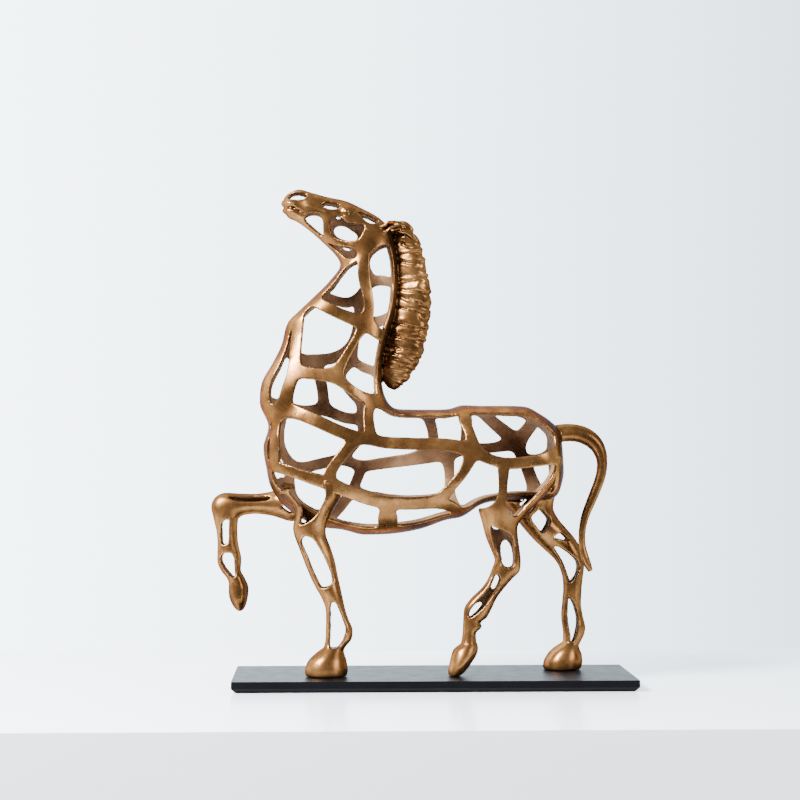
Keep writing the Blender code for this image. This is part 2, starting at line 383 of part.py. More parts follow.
class Shell:
    """A tube drawn by stations, unrolled so that openings can be laid out on it."""

    ROWS = 24
    BEYOND = 40.0

    def __init__(self, stations, relief=()):
        self.relief = relief
        table = [(s[0], s[1], s[2], s[3], s[4] ** 2, s[5]) for s in stations]
        count = (len(table) - 1) * self.ROWS + 1
        self.rows = np.array([spline(table, k / self.ROWS) for k in range(count)])
        self.rows[:, 4] = np.sqrt(np.maximum(self.rows[:, 4], 0))
        middle = np.column_stack([(self.rows[:, 0] + self.rows[:, 2]) / 2, self.rows[:, 4],
                                  (self.rows[:, 1] + self.rows[:, 3]) / 2])
        steps = np.linalg.norm(np.diff(middle, axis=0), axis=1)
        self.run = np.concatenate([[0], np.cumsum(steps)])
        height = np.hypot(self.rows[:, 0] - self.rows[:, 2], self.rows[:, 1] - self.rows[:, 3]) / 2
        self.girth = math.pi * np.sqrt((height ** 2 + self.rows[:, 4] ** 2) / 2)
        before = self.rows[0] + (self.rows[0] - self.rows[1]) * self.BEYOND / steps[0]
        after = self.rows[-1] + (self.rows[-1] - self.rows[-2]) * self.BEYOND / steps[-1]
        self.long_rows = np.vstack([before, self.rows, after])
        self.long_run = np.concatenate([[-self.BEYOND], self.run, [self.run[-1] + self.BEYOND]])

    def row_at(self, run):
        return np.array([np.interp(run, self.run, self.rows[:, k]) for k in range(6)])

    def unroll(self, x, z):
        """Place of a side view point on the unrolled sheet, also beyond the sheet's edges."""
        ax, az, bx, bz = (self.long_rows[:, k] for k in range(4))
        side = (bx - ax) * (z - az) - (bz - az) * (x - ax)
        length2 = (bx - ax) ** 2 + (bz - az) ** 2
        share = ((x - ax) * (bx - ax) + (z - az) * (bz - az)) / length2
        best = None
        for k in range(len(side) - 1):
            if side[k] * side[k + 1] <= 0 and side[k] != side[k + 1]:
                f = side[k] / (side[k] - side[k + 1])
                t = share[k] * (1 - f) + share[k + 1] * f
                off = max(0.0, -t, t - 1)
                if best is None or off < best[0]:
                    best = (off, k + f, t)
        if best is None:
            k = 0 if abs(side[0]) < abs(side[-1]) else len(side) - 1
            best = (0, k, share[k])
        where, t = best[1], best[2]
        run = np.interp(where, range(len(self.long_run)), self.long_run)
        girth = np.interp(run, self.run, self.girth)
        length = math.sqrt(np.interp(where, range(len(length2)), length2))
        angle = math.acos(1 - 2 * min(max(t, 0.0), 1.0))
        over = (min(t, 0.0) + max(t - 1, 0.0)) * length
        return run, (angle / math.pi - 0.5) * girth + over

    def raised(self, x, z):
        """Height of the relief at a side view point."""
        height = 0
        for x1, z1, x2, z2, half_width, most in self.relief:
            dx, dz = x2 - x1, z2 - z1
            along = np.clip(((x - x1) * dx + (z - z1) * dz) / (dx * dx + dz * dz), 0, 1)
            away = np.hypot(x - x1 - along * dx, z - z1 - along * dz) / half_width
            height = height + most * np.exp(-away ** 2)
        return height

    def detail_points(self):
        """Places on the sheet that the relief needs, in rings around each of its lines."""
        spots = []
        for x1, z1, x2, z2, half_width, _ in self.relief:
            count = max(1, round(math.hypot(x2 - x1, z2 - z1) / half_width))
            for i in range(count + 1):
                x, z = x1 + (x2 - x1) * i / count, z1 + (z2 - z1) * i / count
                spots.append(self.unroll(x, z))
                for reach in (0.8 * half_width, 1.6 * half_width):
                    for turn in range(6):
                        angle = turn * math.pi / 3 + reach
                        spots.append(self.unroll(x + reach * math.cos(angle),
                                                 z + reach * math.sin(angle)))
        return spots

    def surface(self, run, across, side):
        """Point on the tube: side is -1 for the left half and 1 for the right half."""
        ax, az, bx, bz, w, c = self.row_at(run)
        girth = np.interp(run, self.run, self.girth)
        angle = min(max((across / girth + 0.5) * math.pi, 0.0), math.pi)
        t = (1 - math.cos(angle)) / 2
        x, z = ax + (bx - ax) * t, az + (bz - az) * t
        depth = c + side * (w * math.sin(angle) ** FULLNESS + self.raised(x, z)) if w > 0 else c
        return x, depth, z


def signed_area(ring):
    return sum(a[0] * b[1] - b[0] * a[1] for a, b in zip(ring, ring[1:] + ring[:1])) / 2


def inside(point, ring):
    x, y = point
    hit = False
    for (ax, ay), (bx, by) in zip(ring, ring[1:] + ring[:1]):
        if (ay > y) != (by > y) and x < (bx - ax) * (y - ay) / (by - ay) + ax:
            hit = not hit
    return hit


def rounded(ring, fillet=FILLET, steps=4):
    """A ring with each corner replaced by a smooth bend."""
    out = []
    count = len(ring)
    for i in range(count):
        p = Vector(ring[i])
        before = Vector(ring[i - 1]) - p
        after = Vector(ring[(i + 1) % count]) - p
        turn = math.pi - before.angle(after) if before.length and after.length else 0
        reach = 0.5 if turn < 0.9 else 0.32
        limit = 99 if turn < 0.9 else fillet
        a = p + before.normalized() * min(before.length * reach, limit)
        b = p + after.normalized() * min(after.length * reach, limit)
        for k in range(steps + 1):
            t = k / steps
            out.append(tuple(a * (1 - t) ** 2 + p * 2 * t * (1 - t) + b * t ** 2))
    return out


def resampled(ring, step):
    """The ring with even spacing."""
    points = np.array(ring + ring[:1])
    lengths = np.concatenate([[0], np.cumsum(np.linalg.norm(np.diff(points, axis=0), axis=1))])
    count = max(7, round(lengths[-1] / step))
    at = np.linspace(0, lengths[-1], count, endpoint=False)
    return [(np.interp(a, lengths, points[:, 0]), np.interp(a, lengths, points[:, 1])) for a in at]


def fields(joints, chains):
    """The rings of joints that enclose each field of a network of bands."""
    near = {name: set() for name in joints}
    for chain in chains:
        for a, b in zip(chain, chain[1:]):
            near[a].add(b)
            near[b].add(a)
    order = {}
    for name, others in near.items():
        x, z = joints[name][:2]
        order[name] = sorted(others, key=lambda o: math.atan2(joints[o][1] - z, joints[o][0] - x))
    seen = set()
    rings = []
    for a in near:
        for b in order[a]:
            ring = []
            u, v = a, b
            while (u, v) not in seen:
                seen.add((u, v))
                ring.append(u)
                turn = order[v]
                u, v = v, turn[turn.index(u) - 1]
            if len(ring) > 2 and signed_area([joints[n][:2] for n in ring]) > 0:
                rings.append(ring)
    return rings


def inset(ring, joints):
    """The opening inside a field: each side moved in by the half width of its band."""
    sides = []
    for a, b in zip(ring, ring[1:] + ring[:1]):
        pa, pb = Vector(joints[a][:2]), Vector(joints[b][:2])
        normal = Vector((pa.y - pb.y, pb.x - pa.x)).normalized()
        sides.append((pa + normal * joints[a][2], pb + normal * joints[b][2]))
    out = []
    for (a, b), (c, d) in zip(sides[-1:] + sides[:-1], sides):
        r, s = b - a, d - c
        cross = r.x * s.y - r.y * s.x
        corner = (b + c) / 2
        if abs(cross) > STRAIGHT * r.length * s.length:
            t = ((c - a).x * s.y - (c - a).y * s.x) / cross
            meet = a + r * t
            if (meet - corner).length < LONGEST_MITRE:
                corner = meet
        out.append(tuple(corner))
    return out


def body_openings(inner, chains, extra):
    """Side view rings of all openings on one side of the trunk, neck and head."""
    joints = dict(inner)
    for k, row in enumerate(BODY):
        joints["t%d" % k] = (row[0], row[1], row[5])
        joints["b%d" % k] = (row[2], row[3], row[6])
    joints["end"] = (106, 186, 8)
    last = len(BODY) - 1
    around = ["t%d" % k for k in range(last + 1)] + ["b%d" % k for k in range(last, -1, -1)]
    links = [chain.split() for chain in chains] + [around + ["end", "t0"]]
    rings = []
    for ring in fields(joints, links):
        outline = [joints[n][:2] for n in ring]
        if any(inside(p, outline) for p in PLATES):
            continue
        opening = inset(ring, joints)
        if signed_area(opening) > SMALLEST_OPENING:
            rings.append(rounded(opening))
    return rings + [rounded(r) for r in extra]


def half_sheet(shell, rings, side, mesh_step, rim_step):
    """Points and faces of one half of a shell, with its openings left out."""
    total = shell.run[-1]
    count = max(4, round(total / mesh_step))
    runs = [total * k / count for k in range(count + 1)]
    girths = [np.interp(r, shell.run, shell.girth) for r in runs]
    top = [(r, -g / 2) for r, g in zip(runs, girths)]
    bottom = [(r, g / 2) for r, g in zip(runs, girths)]
    ends = []
    for r, g in ((runs[-1], girths[-1]), (runs[0], girths[0])):
        n = max(2, round(g / mesh_step))
        ends.append([(r, -g / 2 + g * k / n) for k in range(1, n)])
    border = top + ends[0] + bottom[::-1] + ends[1][::-1]
    loops = [border]
    for ring in rings:
        flat = resampled([shell.unroll(x, z) for x, z in ring], rim_step)
        loops.append(flat if signed_area(flat) > 0 else flat[::-1])
    points = [p for loop in loops for p in loop]
    edges = []
    start = 0
    for loop in loops:
        n = len(loop)
        edges += [(start + k, start + (k + 1) % n) for k in range(n)]
        start += n
    fixed = np.array(points)
    across = max(girths)
    rows = int(across / 2 / (mesh_step * 0.87)) + 1
    for j in range(-rows, rows + 1):
        v = j * mesh_step * 0.87
        for k in range(int(total / mesh_step) + 1):
            u = (k + 0.5 * (j % 2)) * mesh_step
            if u > total or abs(v) > np.interp(u, shell.run, shell.girth) / 2 - mesh_step * 0.5:
                continue
            if np.min(np.hypot(fixed[:, 0] - u, fixed[:, 1] - v)) < mesh_step * 0.62:
                continue
            if u < mesh_step * 0.5 or u > total - mesh_step * 0.5:
                continue
            points.append((u, v))
    for u, v in shell.detail_points():
        near = np.hypot(*(np.array(points) - (u, v)).T)
        if near.min() > DETAIL_STEP and 0 < u < total:
            points.append((u, v))
    coords, _, faces, _, _, _ = delaunay_2d_cdt([Vector(p) for p in points], edges, [], 0, 1e-5)
    kept = []
    for face in faces:
        centre = sum((coords[i] for i in face), Vector((0, 0))) / 3
        if not 0 <= centre.x <= total:
            continue
        if abs(centre.y) > np.interp(centre.x, shell.run, shell.girth) / 2:
            continue
        if any(inside(centre, loop) for loop in loops[1:]):
            continue
        kept.append(list(face) if side < 0 else list(face)[::-1])
    return [place(*shell.surface(p.x, p.y, side)) for p in coords], kept


def shell_object(name, stations, left, right, mesh_step, rim_step, relief=()):
    """A pierced tube with its wall, as a mesh object."""
    shell = Shell(stations, relief)
    mesh = bpy.data.meshes.new(name)
    bm = bmesh.new()
    for side, rings in ((-1, left), (1, right)):
        points, faces = half_sheet(shell, rings, side, mesh_step, rim_step)
        verts = [bm.verts.new(p) for p in points]
        for face in faces:
            if len(set(face)) == 3:
                bm.faces.new([verts[i] for i in face])
    loose = [v for v in bm.verts if not v.link_faces]
    bmesh.ops.delete(bm, geom=loose, context="VERTS")
    bmesh.ops.remove_doubles(bm, verts=bm.verts, dist=0.00005)
    bmesh.ops.dissolve_degenerate(bm, dist=0.00002, edges=bm.edges)
    bm.to_mesh(mesh)
    bm.free()
    obj = bpy.data.objects.new(name, mesh)
    WORK.objects.link(obj)
    wall = obj.modifiers.new("wall", "SOLIDIFY")
    wall.thickness = WALL
    wall.offset = -1
    wall.use_rim = True
    return obj


def limb_object(name, stations, openings, mesh_step, rim_step):
    left = [rounded(ring) for sides, ring in openings if "L" in sides]
    right = [rounded(ring) for sides, ring in openings if "R" in sides]
    return shell_object(name, stations, left, right, mesh_step, rim_step)


def solid_object(name, stations, rows_each=3, ripple=None, mirror=1, taper=0.0):
    """A closed form through oval sections, narrower in front by a taper, perhaps rippled."""
    table = [(s[0], s[1], s[2], s[3], s[4], s[5] * mirror) for s in stations]
    bm = bmesh.new()
    rings = []
    count = (len(table) - 1) * rows_each
    for k in range(count + 1):
        ax, az, bx, bz, w, c = spline(table, k / rows_each)
        cx, cz, hx, hz = (ax + bx) / 2, (az + bz) / 2, (ax - bx) / 2, (az - bz) / 2
        ring = []
        for j in range(RING_POINTS):
            angle = 2 * math.pi * j / RING_POINTS
            grow = 1 + (ripple(k / count, angle) if ripple else 0)
            along, out = math.cos(angle) * grow, math.sin(angle) * grow
            out *= 1 - taper * (1 + math.cos(angle)) / 2
            ring.append(bm.verts.new(place(cx + hx * along, c + w * out, cz + hz * along)))
        rings.append(ring)
    for a, b in zip(rings, rings[1:]):
        for j in range(RING_POINTS):
            bm.faces.new((a[j], a[(j + 1) % RING_POINTS], b[(j + 1) % RING_POINTS], b[j]))
    bm.faces.new(rings[0])
    bm.faces.new(rings[-1])
    bmesh.ops.recalc_face_normals(bm, faces=bm.faces)
    mesh = bpy.data.meshes.new(name)
    bm.to_mesh(mesh)
    bm.free()
    obj = bpy.data.objects.new(name, mesh)
    WORK.objects.link(obj)
    return obj


def mane_ripple(share, angle):
    """Crosswise folds of uneven width, round on top with narrow creases, that fade at the ends."""
    lean = 0.30 * math.cos(angle) + 0.25 * math.sin(2.3 * angle + 9 * share)
    at = MANE_PLEATS * share + lean + 0.28 * math.sin(0.9 * MANE_PLEATS * share)
    fold = 2 * abs(math.sin(math.pi * at)) ** 0.7 - 1.2
    fine = math.sin(2 * math.pi * (2.3 * at + 0.4 * math.sin(2 * angle)))
    return MANE_PLEAT_DEPTH * (fold + 0.22 * fine) * min(1, 14 * share, 9 * (1 - share))


def tail_object():
    """The tail as a tapered tube along its middle line."""
    curve = bpy.data.curves.new("tail", "CURVE")
    curve.dimensions = "3D"
    curve.bevel_depth = UNIT
    curve.bevel_resolution = 3
    curve.resolution_u = 3
    curve.use_fill_caps = True
    line = curve.splines.new("BEZIER")
    line.bezier_points.add(len(TAIL) - 1)
    for point, (x, z, radius) in zip(line.bezier_points, TAIL):
        point.co = place(x, 0, z)
        point.radius = radius
        point.handle_left_type = point.handle_right_type = "AUTO"
    guide = bpy.data.objects.new("tail guide", curve)
    WORK.objects.link(guide)
    bpy.context.view_layer.update()
    mesh = bpy.data.meshes.new_from_object(guide.evaluated_get(bpy.context.evaluated_depsgraph_get()))
    bm = bmesh.new()
    bm.from_mesh(mesh)
    bmesh.ops.remove_doubles(bm, verts=bm.verts, dist=0.00005)
    bmesh.ops.recalc_face_normals(bm, faces=bm.faces)
    bm.to_mesh(mesh)
    bm.free()
    bpy.data.objects.remove(guide)
    obj = bpy.data.objects.new("tail", mesh)
    WORK.objects.link(obj)
    return obj


def material(name, colour, roughness, metallic):
    mat = bpy.data.materials.new(name)
    mat.use_nodes = True
    shader = mat.node_tree.nodes["Principled BSDF"]
    shader.inputs["Base Color"].default_value = (*colour, 1)
    shader.inputs["Roughness"].default_value = roughness
    shader.inputs["Metallic"].default_value = metallic
    return mat


def fused(pieces, name):
    """All forms as one casting: joined, remeshed as one skin, smoothed and thinned."""
    graph = bpy.context.evaluated_depsgraph_get()
    bm = bmesh.new()
    for piece in pieces:
        part = piece.evaluated_get(graph).to_mesh()
        bm.from_mesh(part)
    mesh = bpy.data.meshes.new(name)
    bm.to_mesh(mesh)
    bm.free()
    obj = bpy.data.objects.new(name, mesh)
    PART.objects.link(obj)
    skin = obj.modifiers.new("skin", "REMESH")
    skin.mode = "VOXEL"
    skin.voxel_size = FUSE_STEP * UNIT
    soften = obj.modifiers.new("soften", "SMOOTH")
    soften.factor = 0.5
    soften.iterations = 2
    bpy.context.view_layer.update()
    graph = bpy.context.evaluated_depsgraph_get()
    whole = bpy.data.meshes.new_from_object(obj.evaluated_get(graph))
    keep_largest(whole)
    obj.modifiers.clear()
    obj.data = whole
    whole.name = name
    thin = obj.modifiers.new("thin", "DECIMATE")
    thin.ratio = HORSE_FACES / (2 * len(whole.polygons))
    thin.use_collapse_triangulate = True
    return obj


def keep_largest(mesh):
    """Only the largest connected skin stays."""
    bm = bmesh.new()
    bm.from_mesh(mesh)
    left = set(bm.verts)
    groups = []
    while left:
        group = [left.pop()]
        for vert in group:
            for edge in vert.link_edges:
                other = edge.other_vert(vert)
                if other in left:
                    left.discard(other)
                    group.append(other)
        groups.append(group)
    groups.sort(key=len)
    print("skins", [len(g) for g in groups[-6:]])
    for group in groups[:-1]:
        bmesh.ops.delete(bm, geom=group, context="VERTS")
    bm.to_mesh(mesh)
    bm.free()


def make_horse():
    left = body_openings({**NECK_JOINTS, **CHEST_JOINTS, **BARREL_JOINTS}, LEFT_BANDS, LEFT_HEAD)
    right = body_openings({"poll2": NECK_JOINTS["poll2"], **FAR_JOINTS}, RIGHT_BANDS, RIGHT_HEAD)
    body = [(*row[:5], 0) for row in BODY]
    pieces = [
        shell_object("trunk", body, left, right, MESH_STEP, RIM_STEP, FACE),
        limb_object("left fore", LEFT_FORE, LEFT_FORE_OPENINGS, MESH_STEP, RIM_STEP),
        limb_object("left hind", LEFT_HIND, LEFT_HIND_OPENINGS, MESH_STEP, RIM_STEP),
        limb_object("right hind", RIGHT_HIND, RIGHT_HIND_OPENINGS, MESH_STEP, RIM_STEP),
        limb_object("right fore", RIGHT_FORE, RIGHT_FORE_OPENINGS, MESH_STEP, RIM_STEP),
        solid_object("mane", MANE, 12, mane_ripple, taper=MANE_FRONT_TAPER),
        solid_object("left ear", EAR),
        solid_object("right ear", EAR, mirror=-1),
        solid_object("upper lip", UPPER_LIP),
        solid_object("lower lip", LOWER_LIP),
        solid_object("left fore hoof", LEFT_FORE_HOOF),
        solid_object("left hind hoof", LEFT_HIND_HOOF),
        solid_object("right hind hoof", RIGHT_HIND_HOOF),
        solid_object("right fore hoof", RIGHT_FORE_HOOF),
        tail_object(),
    ]
    for lock in LOCKS:
        pieces += [solid_object("lock", lock, mirror=1), solid_object("lock", lock, mirror=-1)]
    bpy.context.view_layer.update()
    horse = fused(pieces, "horse")
    horse.data.materials.clear()
    horse.data.materials.append(material("bronze paint", (0.45, 0.27, 0.13), 0.38, 0.75))
    return horse


def make_plate():
    bpy.ops.mesh.primitive_cube_add(size=1, location=(0, 0, PLATE_HEIGHT / 2))
    plate = bpy.context.object
    plate.name = plate.data.name = "base_plate"
    plate.scale = (PLATE_LENGTH, PLATE_WIDTH, PLATE_HEIGHT)
    bpy.ops.object.transform_apply(location=False, rotation=False, scale=True)
    bm = bmesh.new()
    bm.from_mesh(plate.data)
    low = [e for e in bm.edges if all(v.co.z < 0 for v in e.verts)]
    bmesh.ops.bevel(bm, geom=low, offset=PLATE_CHAMFER, segments=1, affect="EDGES")
    bm.to_mesh(plate.data)
    bm.free()
    for owner in plate.users_collection:
        owner.objects.unlink(plate)
    PART.objects.link(plate)
    plate.data.materials.append(material("black plate", (0.02, 0.02, 0.022), 0.3, 0.0))
    return plate


for old in list(bpy.data.objects):
    bpy.data.objects.remove(old)
PART = bpy.data.collections.new("openwork horse")
WORK = bpy.data.collections.new("guides")
bpy.context.scene.collection.children.link(PART)
bpy.context.scene.collection.children.link(WORK)
make_horse()
make_plate()
for guide in list(WORK.objects):
    guide.hide_render = True
    guide.display_type = "WIRE"
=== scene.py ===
"""Dressed scene of the openwork horse on its black plate.

The horse here is one finer casting that stands for the node "horse": pierced shells of trunk,
neck, head and limbs, with a pleated mane, grooved ears, a face, a tail and hooves.  The side
view is drawn in units of UNIT metres: x runs from the nose (minus) to the tail (plus), z is the
height over the underside of the plate, and y is the depth, minus on the horse's left side.
"""
import math

import bmesh
import bpy
import numpy as np
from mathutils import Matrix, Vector, kdtree
from mathutils.bvhtree import BVHTree
from mathutils.geometry import delaunay_2d_cdt


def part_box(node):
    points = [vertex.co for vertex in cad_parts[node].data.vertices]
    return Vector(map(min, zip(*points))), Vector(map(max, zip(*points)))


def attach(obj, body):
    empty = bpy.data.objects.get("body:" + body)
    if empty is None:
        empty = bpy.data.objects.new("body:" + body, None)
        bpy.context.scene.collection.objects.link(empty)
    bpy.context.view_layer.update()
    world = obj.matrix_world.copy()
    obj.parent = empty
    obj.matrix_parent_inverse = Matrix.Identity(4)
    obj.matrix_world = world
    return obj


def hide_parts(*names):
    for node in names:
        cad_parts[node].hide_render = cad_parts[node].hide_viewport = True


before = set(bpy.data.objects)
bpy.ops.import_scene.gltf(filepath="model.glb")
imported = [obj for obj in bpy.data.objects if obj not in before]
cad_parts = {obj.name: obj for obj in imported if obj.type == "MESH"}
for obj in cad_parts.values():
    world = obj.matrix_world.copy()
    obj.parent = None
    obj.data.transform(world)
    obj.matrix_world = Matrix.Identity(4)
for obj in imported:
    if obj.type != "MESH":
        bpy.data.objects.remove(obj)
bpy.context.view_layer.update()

# Driving sizes in metres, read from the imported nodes, and the casting's wall
PLATE_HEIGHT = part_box("base_plate")[1].z
WALL = 0.0028
SEAT_GAP = 0.0003
HORSE_HEIGHT = 0.3914

# The drawing: its ground line, its full height over that line, and the size of one unit
DRAWN_GROUND = 9.0
DRAWN_HEIGHT = 391.4
UNIT = HORSE_HEIGHT / DRAWN_HEIGHT

# Light: strength of the backdrop and of the room behind the camera, the share of it at the left
# and the right, two lamps, the point that they face, and the pale top that the plate stands on
BACKDROP_LIGHT = 5.0
ROOM_LIGHT = 0.32
LEFT_SHARE = 1.6
RIGHT_SHARE = 0.6
ROOM_COLOUR = (0.79, 0.91, 1.0)
WINDOW_WATTS = 330
WINDOW_SIZE = 0.7
WINDOW_PLACE = (-1.5, -1.1, 1.5)
FILL_WATTS = 35
FILL_SIZE = 0.8
FILL_PLACE = (1.5, -1.3, 0.7)
LIT_POINT = (0, 0, 0.2)
FLOOR_SIZE = (4.0, 0.51, 0.12)

# Camera: its place in metres, its tilt and turn in degrees, and its lens in millimetres
CAMERA_PLACE = (-0.082, -1.570, 0.195)
CAMERA_TILT = 91.27
CAMERA_TURN = -2.03
CAMERA_LENS = 87.2

# Fineness of the surface, in drawing units, and the number of facets left at the end
MESH_STEP = 2.6
RIM_STEP = 1.6
DETAIL_STEP = 0.35
FUSE_STEP = 0.7
HORSE_FACES = 190000
# Points closer than this, in metres, become one
MERGE_GAP = 0.00005

# The ears' outer groove: its depth as a share of the ear's half width, and its own half width
EAR_GROOVE = 1.7
GROOVE_SHARE = 0.45


def rows_of(text):
    """A table of numbers from rows that are parted by commas."""
    return [tuple(map(float, row.split())) for row in text.split(",")]


def joints_of(text):
    """A table of named rows of numbers."""
    named = [row.split(maxsplit=1) for row in text.split(",")]
    return {name: rows_of(numbers)[0] for name, numbers in named}


# Openings: how far a corner is rounded, the turn in radians that makes a corner, the smallest
# opening that is cut, the longest mitre, and the sine of a turn that still counts as straight
FILLET = 5.0
CORNER_TURN = 0.9
SMALLEST_OPENING = 14.0
LONGEST_MITRE = 16.0
STRAIGHT = 0.12
# A tube's section: the power of the sine that its bulge follows, below 1 for a fuller side
FULLNESS = 0.86

# Trunk, neck and head: top point, bottom point, half width, rim at the top and at the bottom
BODY = rows_of("""
    104.5 204 107 170 0 7 7, 97 211.5 101.2 152.5 29 6.5 4.5, 87 218.5 90 148.5 38 6 4.5,
    74 224.5 75 149 41 6 4.5, 57 225 57 148 41.5 6 4, 41 225 40 145 41.5 6 4,
    25 225.5 24 135 41 6 4, 12 222.3 10 132 41.5 5.5 4.5, -4 221.9 -11 124.8 42 5 5,
    -19 222 -37 120.8 42 5 6, -30 222.8 -55 120.4 41 5 6, -35.5 227 -73 124.5 40 6 5,
    -39 234 -95 128 39 6 9, -41 243 -118 142 38 4.5 9, -41.5 252 -130.5 158 37 4 4,
    -40.5 262 -134.5 174 36 4 3, -38.5 271 -137 191 34 4.5 2.6, -36 280 -133 208 32 5 3,
    -33.5 289 -140 227 29.5 4.5 7, -31 298 -138.5 243 27 4 6.5, -29.5 307 -129.5 259.5 25 3.8 6,
    -28.5 316 -122.5 274 24 3.8 5, -28 325 -118 291 23 3.8 4, -28 334 -109 301 22 3.8 4.5,
    -28.5 343 -98.5 311 21.5 4 4.5, -30 352 -84.5 325 21 4.5 4.8, -32 361 -75 339 20 5 4.5,
    -35.5 369.5 -79 347 19 5 4, -44 378 -84.5 352.8 18 5 4.5, -57 385 -90 358 16.5 5 4.5,
    -70 391 -96.5 363.8 14.5 4 4, -84 394 -103 369 12.5 4 3.5, -97 397.5 -110 373.8 11.5 4 3,
    -108 400.4 -117 377 10.5 4 3, -116.6 397.4 -120 382.2 8 4 3, -120.8 393 -121 387.4 0 3 3
""")

# Joints inside the outline: x, z and half the width of the bands that meet there
NECK_JOINTS = joints_of("""
    throat -67 341 2.8, n1 -57.5 349 5.4, n2 -56.2 338 5, n3 -56 328 5, n4 -53.2 316 4.4,
    n5 -51.2 304 4, mid -54.5 290.5 6, back -43 281.7 4.2, poll2 -45 356 3.6, f1 -84.5 302.3 4.6,
    f2 -72.5 296.7 4.6, d1 -61 280 3, d2 -67.3 269.3 3.2, d3 -73 259.3 3.6, low -79 248.5 6,
    u1 -108.8 293 4.3, u2 -110.3 279 4.3, u3 -111.2 266 4.5, u4 -111.5 252.5 5.6, h1 -96 249.5 4.5,
    w1 -70 240.2 3.8, w2 -60 232.8 3.8, w3 -49 229 5
""")
CHEST_JOINTS = joints_of("""
    c1 -116.2 239 4.6, breast -120.5 222 6.5, c2 -131 219 5, a1 -108 218.3 5, a2 -92 211.5 5.2,
    a3 -77 204.5 5, a4 -62 199 5.2, v1 -52.5 219 4.2, v2 -52 209 4.4, v3 -50 198 4.8,
    k1 -127.6 212 3.6, k2 -128 198 3.4, k3 -127.4 184 4, k4 -128.5 175.7 4.2, l1 -118 173.2 4.3,
    l2 -107 169.4 4.2, l3 -96 166 5, elbow -83.5 162.5 5.6, e1 -69.5 190 4.4, e2 -76.5 181 4.3,
    e3 -82.6 172.5 4.4
""")
BARREL_JOINTS = joints_of("""
    m1 -40 195.2 4.6, m2 -15 194.4 4.8, m3 10 194 4.8, hip 30.5 189 6, g1 27.8 204 3.8,
    g2 23.5 214 4.6, q1 23 171 3.8, q2 13.5 160 3.8, flank 3 147.3 4.8, p1 -69.5 156.3 5,
    p2 -53 149.8 4.8, p3 -38 146.8 5, p4 -18 146.2 5, keel -37 133 8.5, fold 15 143 4,
    r1 42 181.8 4.2, point 57 177.6 4.6, r2 75 179.5 4.6, r3 89 182 5.2
""")
LEFT_BANDS = [
    "t26 poll2 n1 throat b26", "n1 n2 n3 n4 n5 mid back t17", "b24 f1 f2 mid",
    "mid d1 d2 d3 low h1 u4", "b23 u1 u2 u3 u4 c1 breast c2 b18",
    "low w1 w2 w3 t11", "w3 v1 v2 v3", "breast a1 a2 a3 a4 v3", "breast k1 k2 k3 k4 b15",
    "k4 l1 l2 l3 elbow", "a4 e1 e2 e3 elbow", "v3 m1 m2 m3 hip",
    "hip g1 g2 t6", "hip q1 q2 flank", "elbow p1 p2 p3 p4 flank fold b6", "p3 keel b9",
    "hip r1 point r2 r3 end",
]
FAR_JOINTS = joints_of("""
    x1 -86 314.5 4, x2 -70 309 4, x3 -59 314 4.4, x4 -54 322 4, x5 -48 327.5 4.6, x6 -40 328 4.2,
    x7 -53.5 336 4, x8 -55.5 348 5, x9 -66 343.5 3.4, x10 -59.5 298 4, x11 -46 293 4.6,
    y1 -62 283 3.6, y2 -68 272 4, y3 -80 264.5 4.6, y4 -95 263 5, y5 -108 262.5 5.2,
    y6 -64 262.5 3.4, y7 -55 256.8 3.8, y8 -75.5 250 3.6, y9 -66 237 4, y10 -56 229 4.6,
    y11 -45 231 5, c3 -119 241 4, c4 -122 224 5, j1 -105 221.5 4, j2 -88 223 5, j3 -89.5 240 4.6,
    j4 -72 215.5 4.6, j5 -56 214.5 4.8, j6 -55 203 4.4, j7 -63 193 4, z1 -125.5 210 4,
    z2 -126 192 4, z3 -117 178 3.6, z4 -107 173.4 4.6, z5 -91 177.5 4.8, z6 -73 181.5 4.4,
    z7 -57 175 4.6, z8 -40 178 5, z9 -12 181.5 5.2, z10 14 186.5 6.4, z11 3 193 4.8, z12 2 206 4.2,
    z13 -60 166 4.4, z14 -65 154 4.4, z15 -76 140 4.6, z16 -30 147 3.6, z17 0 147 4, z18 16.5 170 4,
    z19 16 150 4.4, z20 30 190 5, z21 -124 163 3.4, z22 -117 160 4.2, i1 30 214 4.6,
    i2 52 190.5 4.2, i3 73 195.5 6.5, i4 50 214 4.6, i5 83 209 5.5, i6 77 181 4.6, i7 92 181 4.2
""")
RIGHT_BANDS = [
    "t26 poll2 x8 x9 b26", "b24 x1 x2 x3 x4 x5 x6 t22", "x5 x7 x8", "x3 x10 x11 t19",
    "x10 y1 y2 y3 y4 y5 b21", "y1 y6 y7 t14", "y6 y8 y9 y10 y11 t12", "y5 c3 c4 b18",
    "y4 j3 j2 j1 c4", "j2 j4 j5 y10", "j5 j6 j7 z6", "c4 z1 z2 b16",
    "z2 z3 z4 z5 z6 z7 z8 z9 z10 z20", "b14 z21 z22 z3", "z22 b13", "z7 z13 z14 z15 b12",
    "z14 z16 z17 z19", "z9 z11 z12 t8", "z10 z18 z19 b6", "z20 i1 t6", "z20 i2 i3 i4 t5",
    "i3 i5 t2", "i3 i6 i7 end",
]
# A point inside each field that stays a solid plate
PLATES = [(-60, 380)]
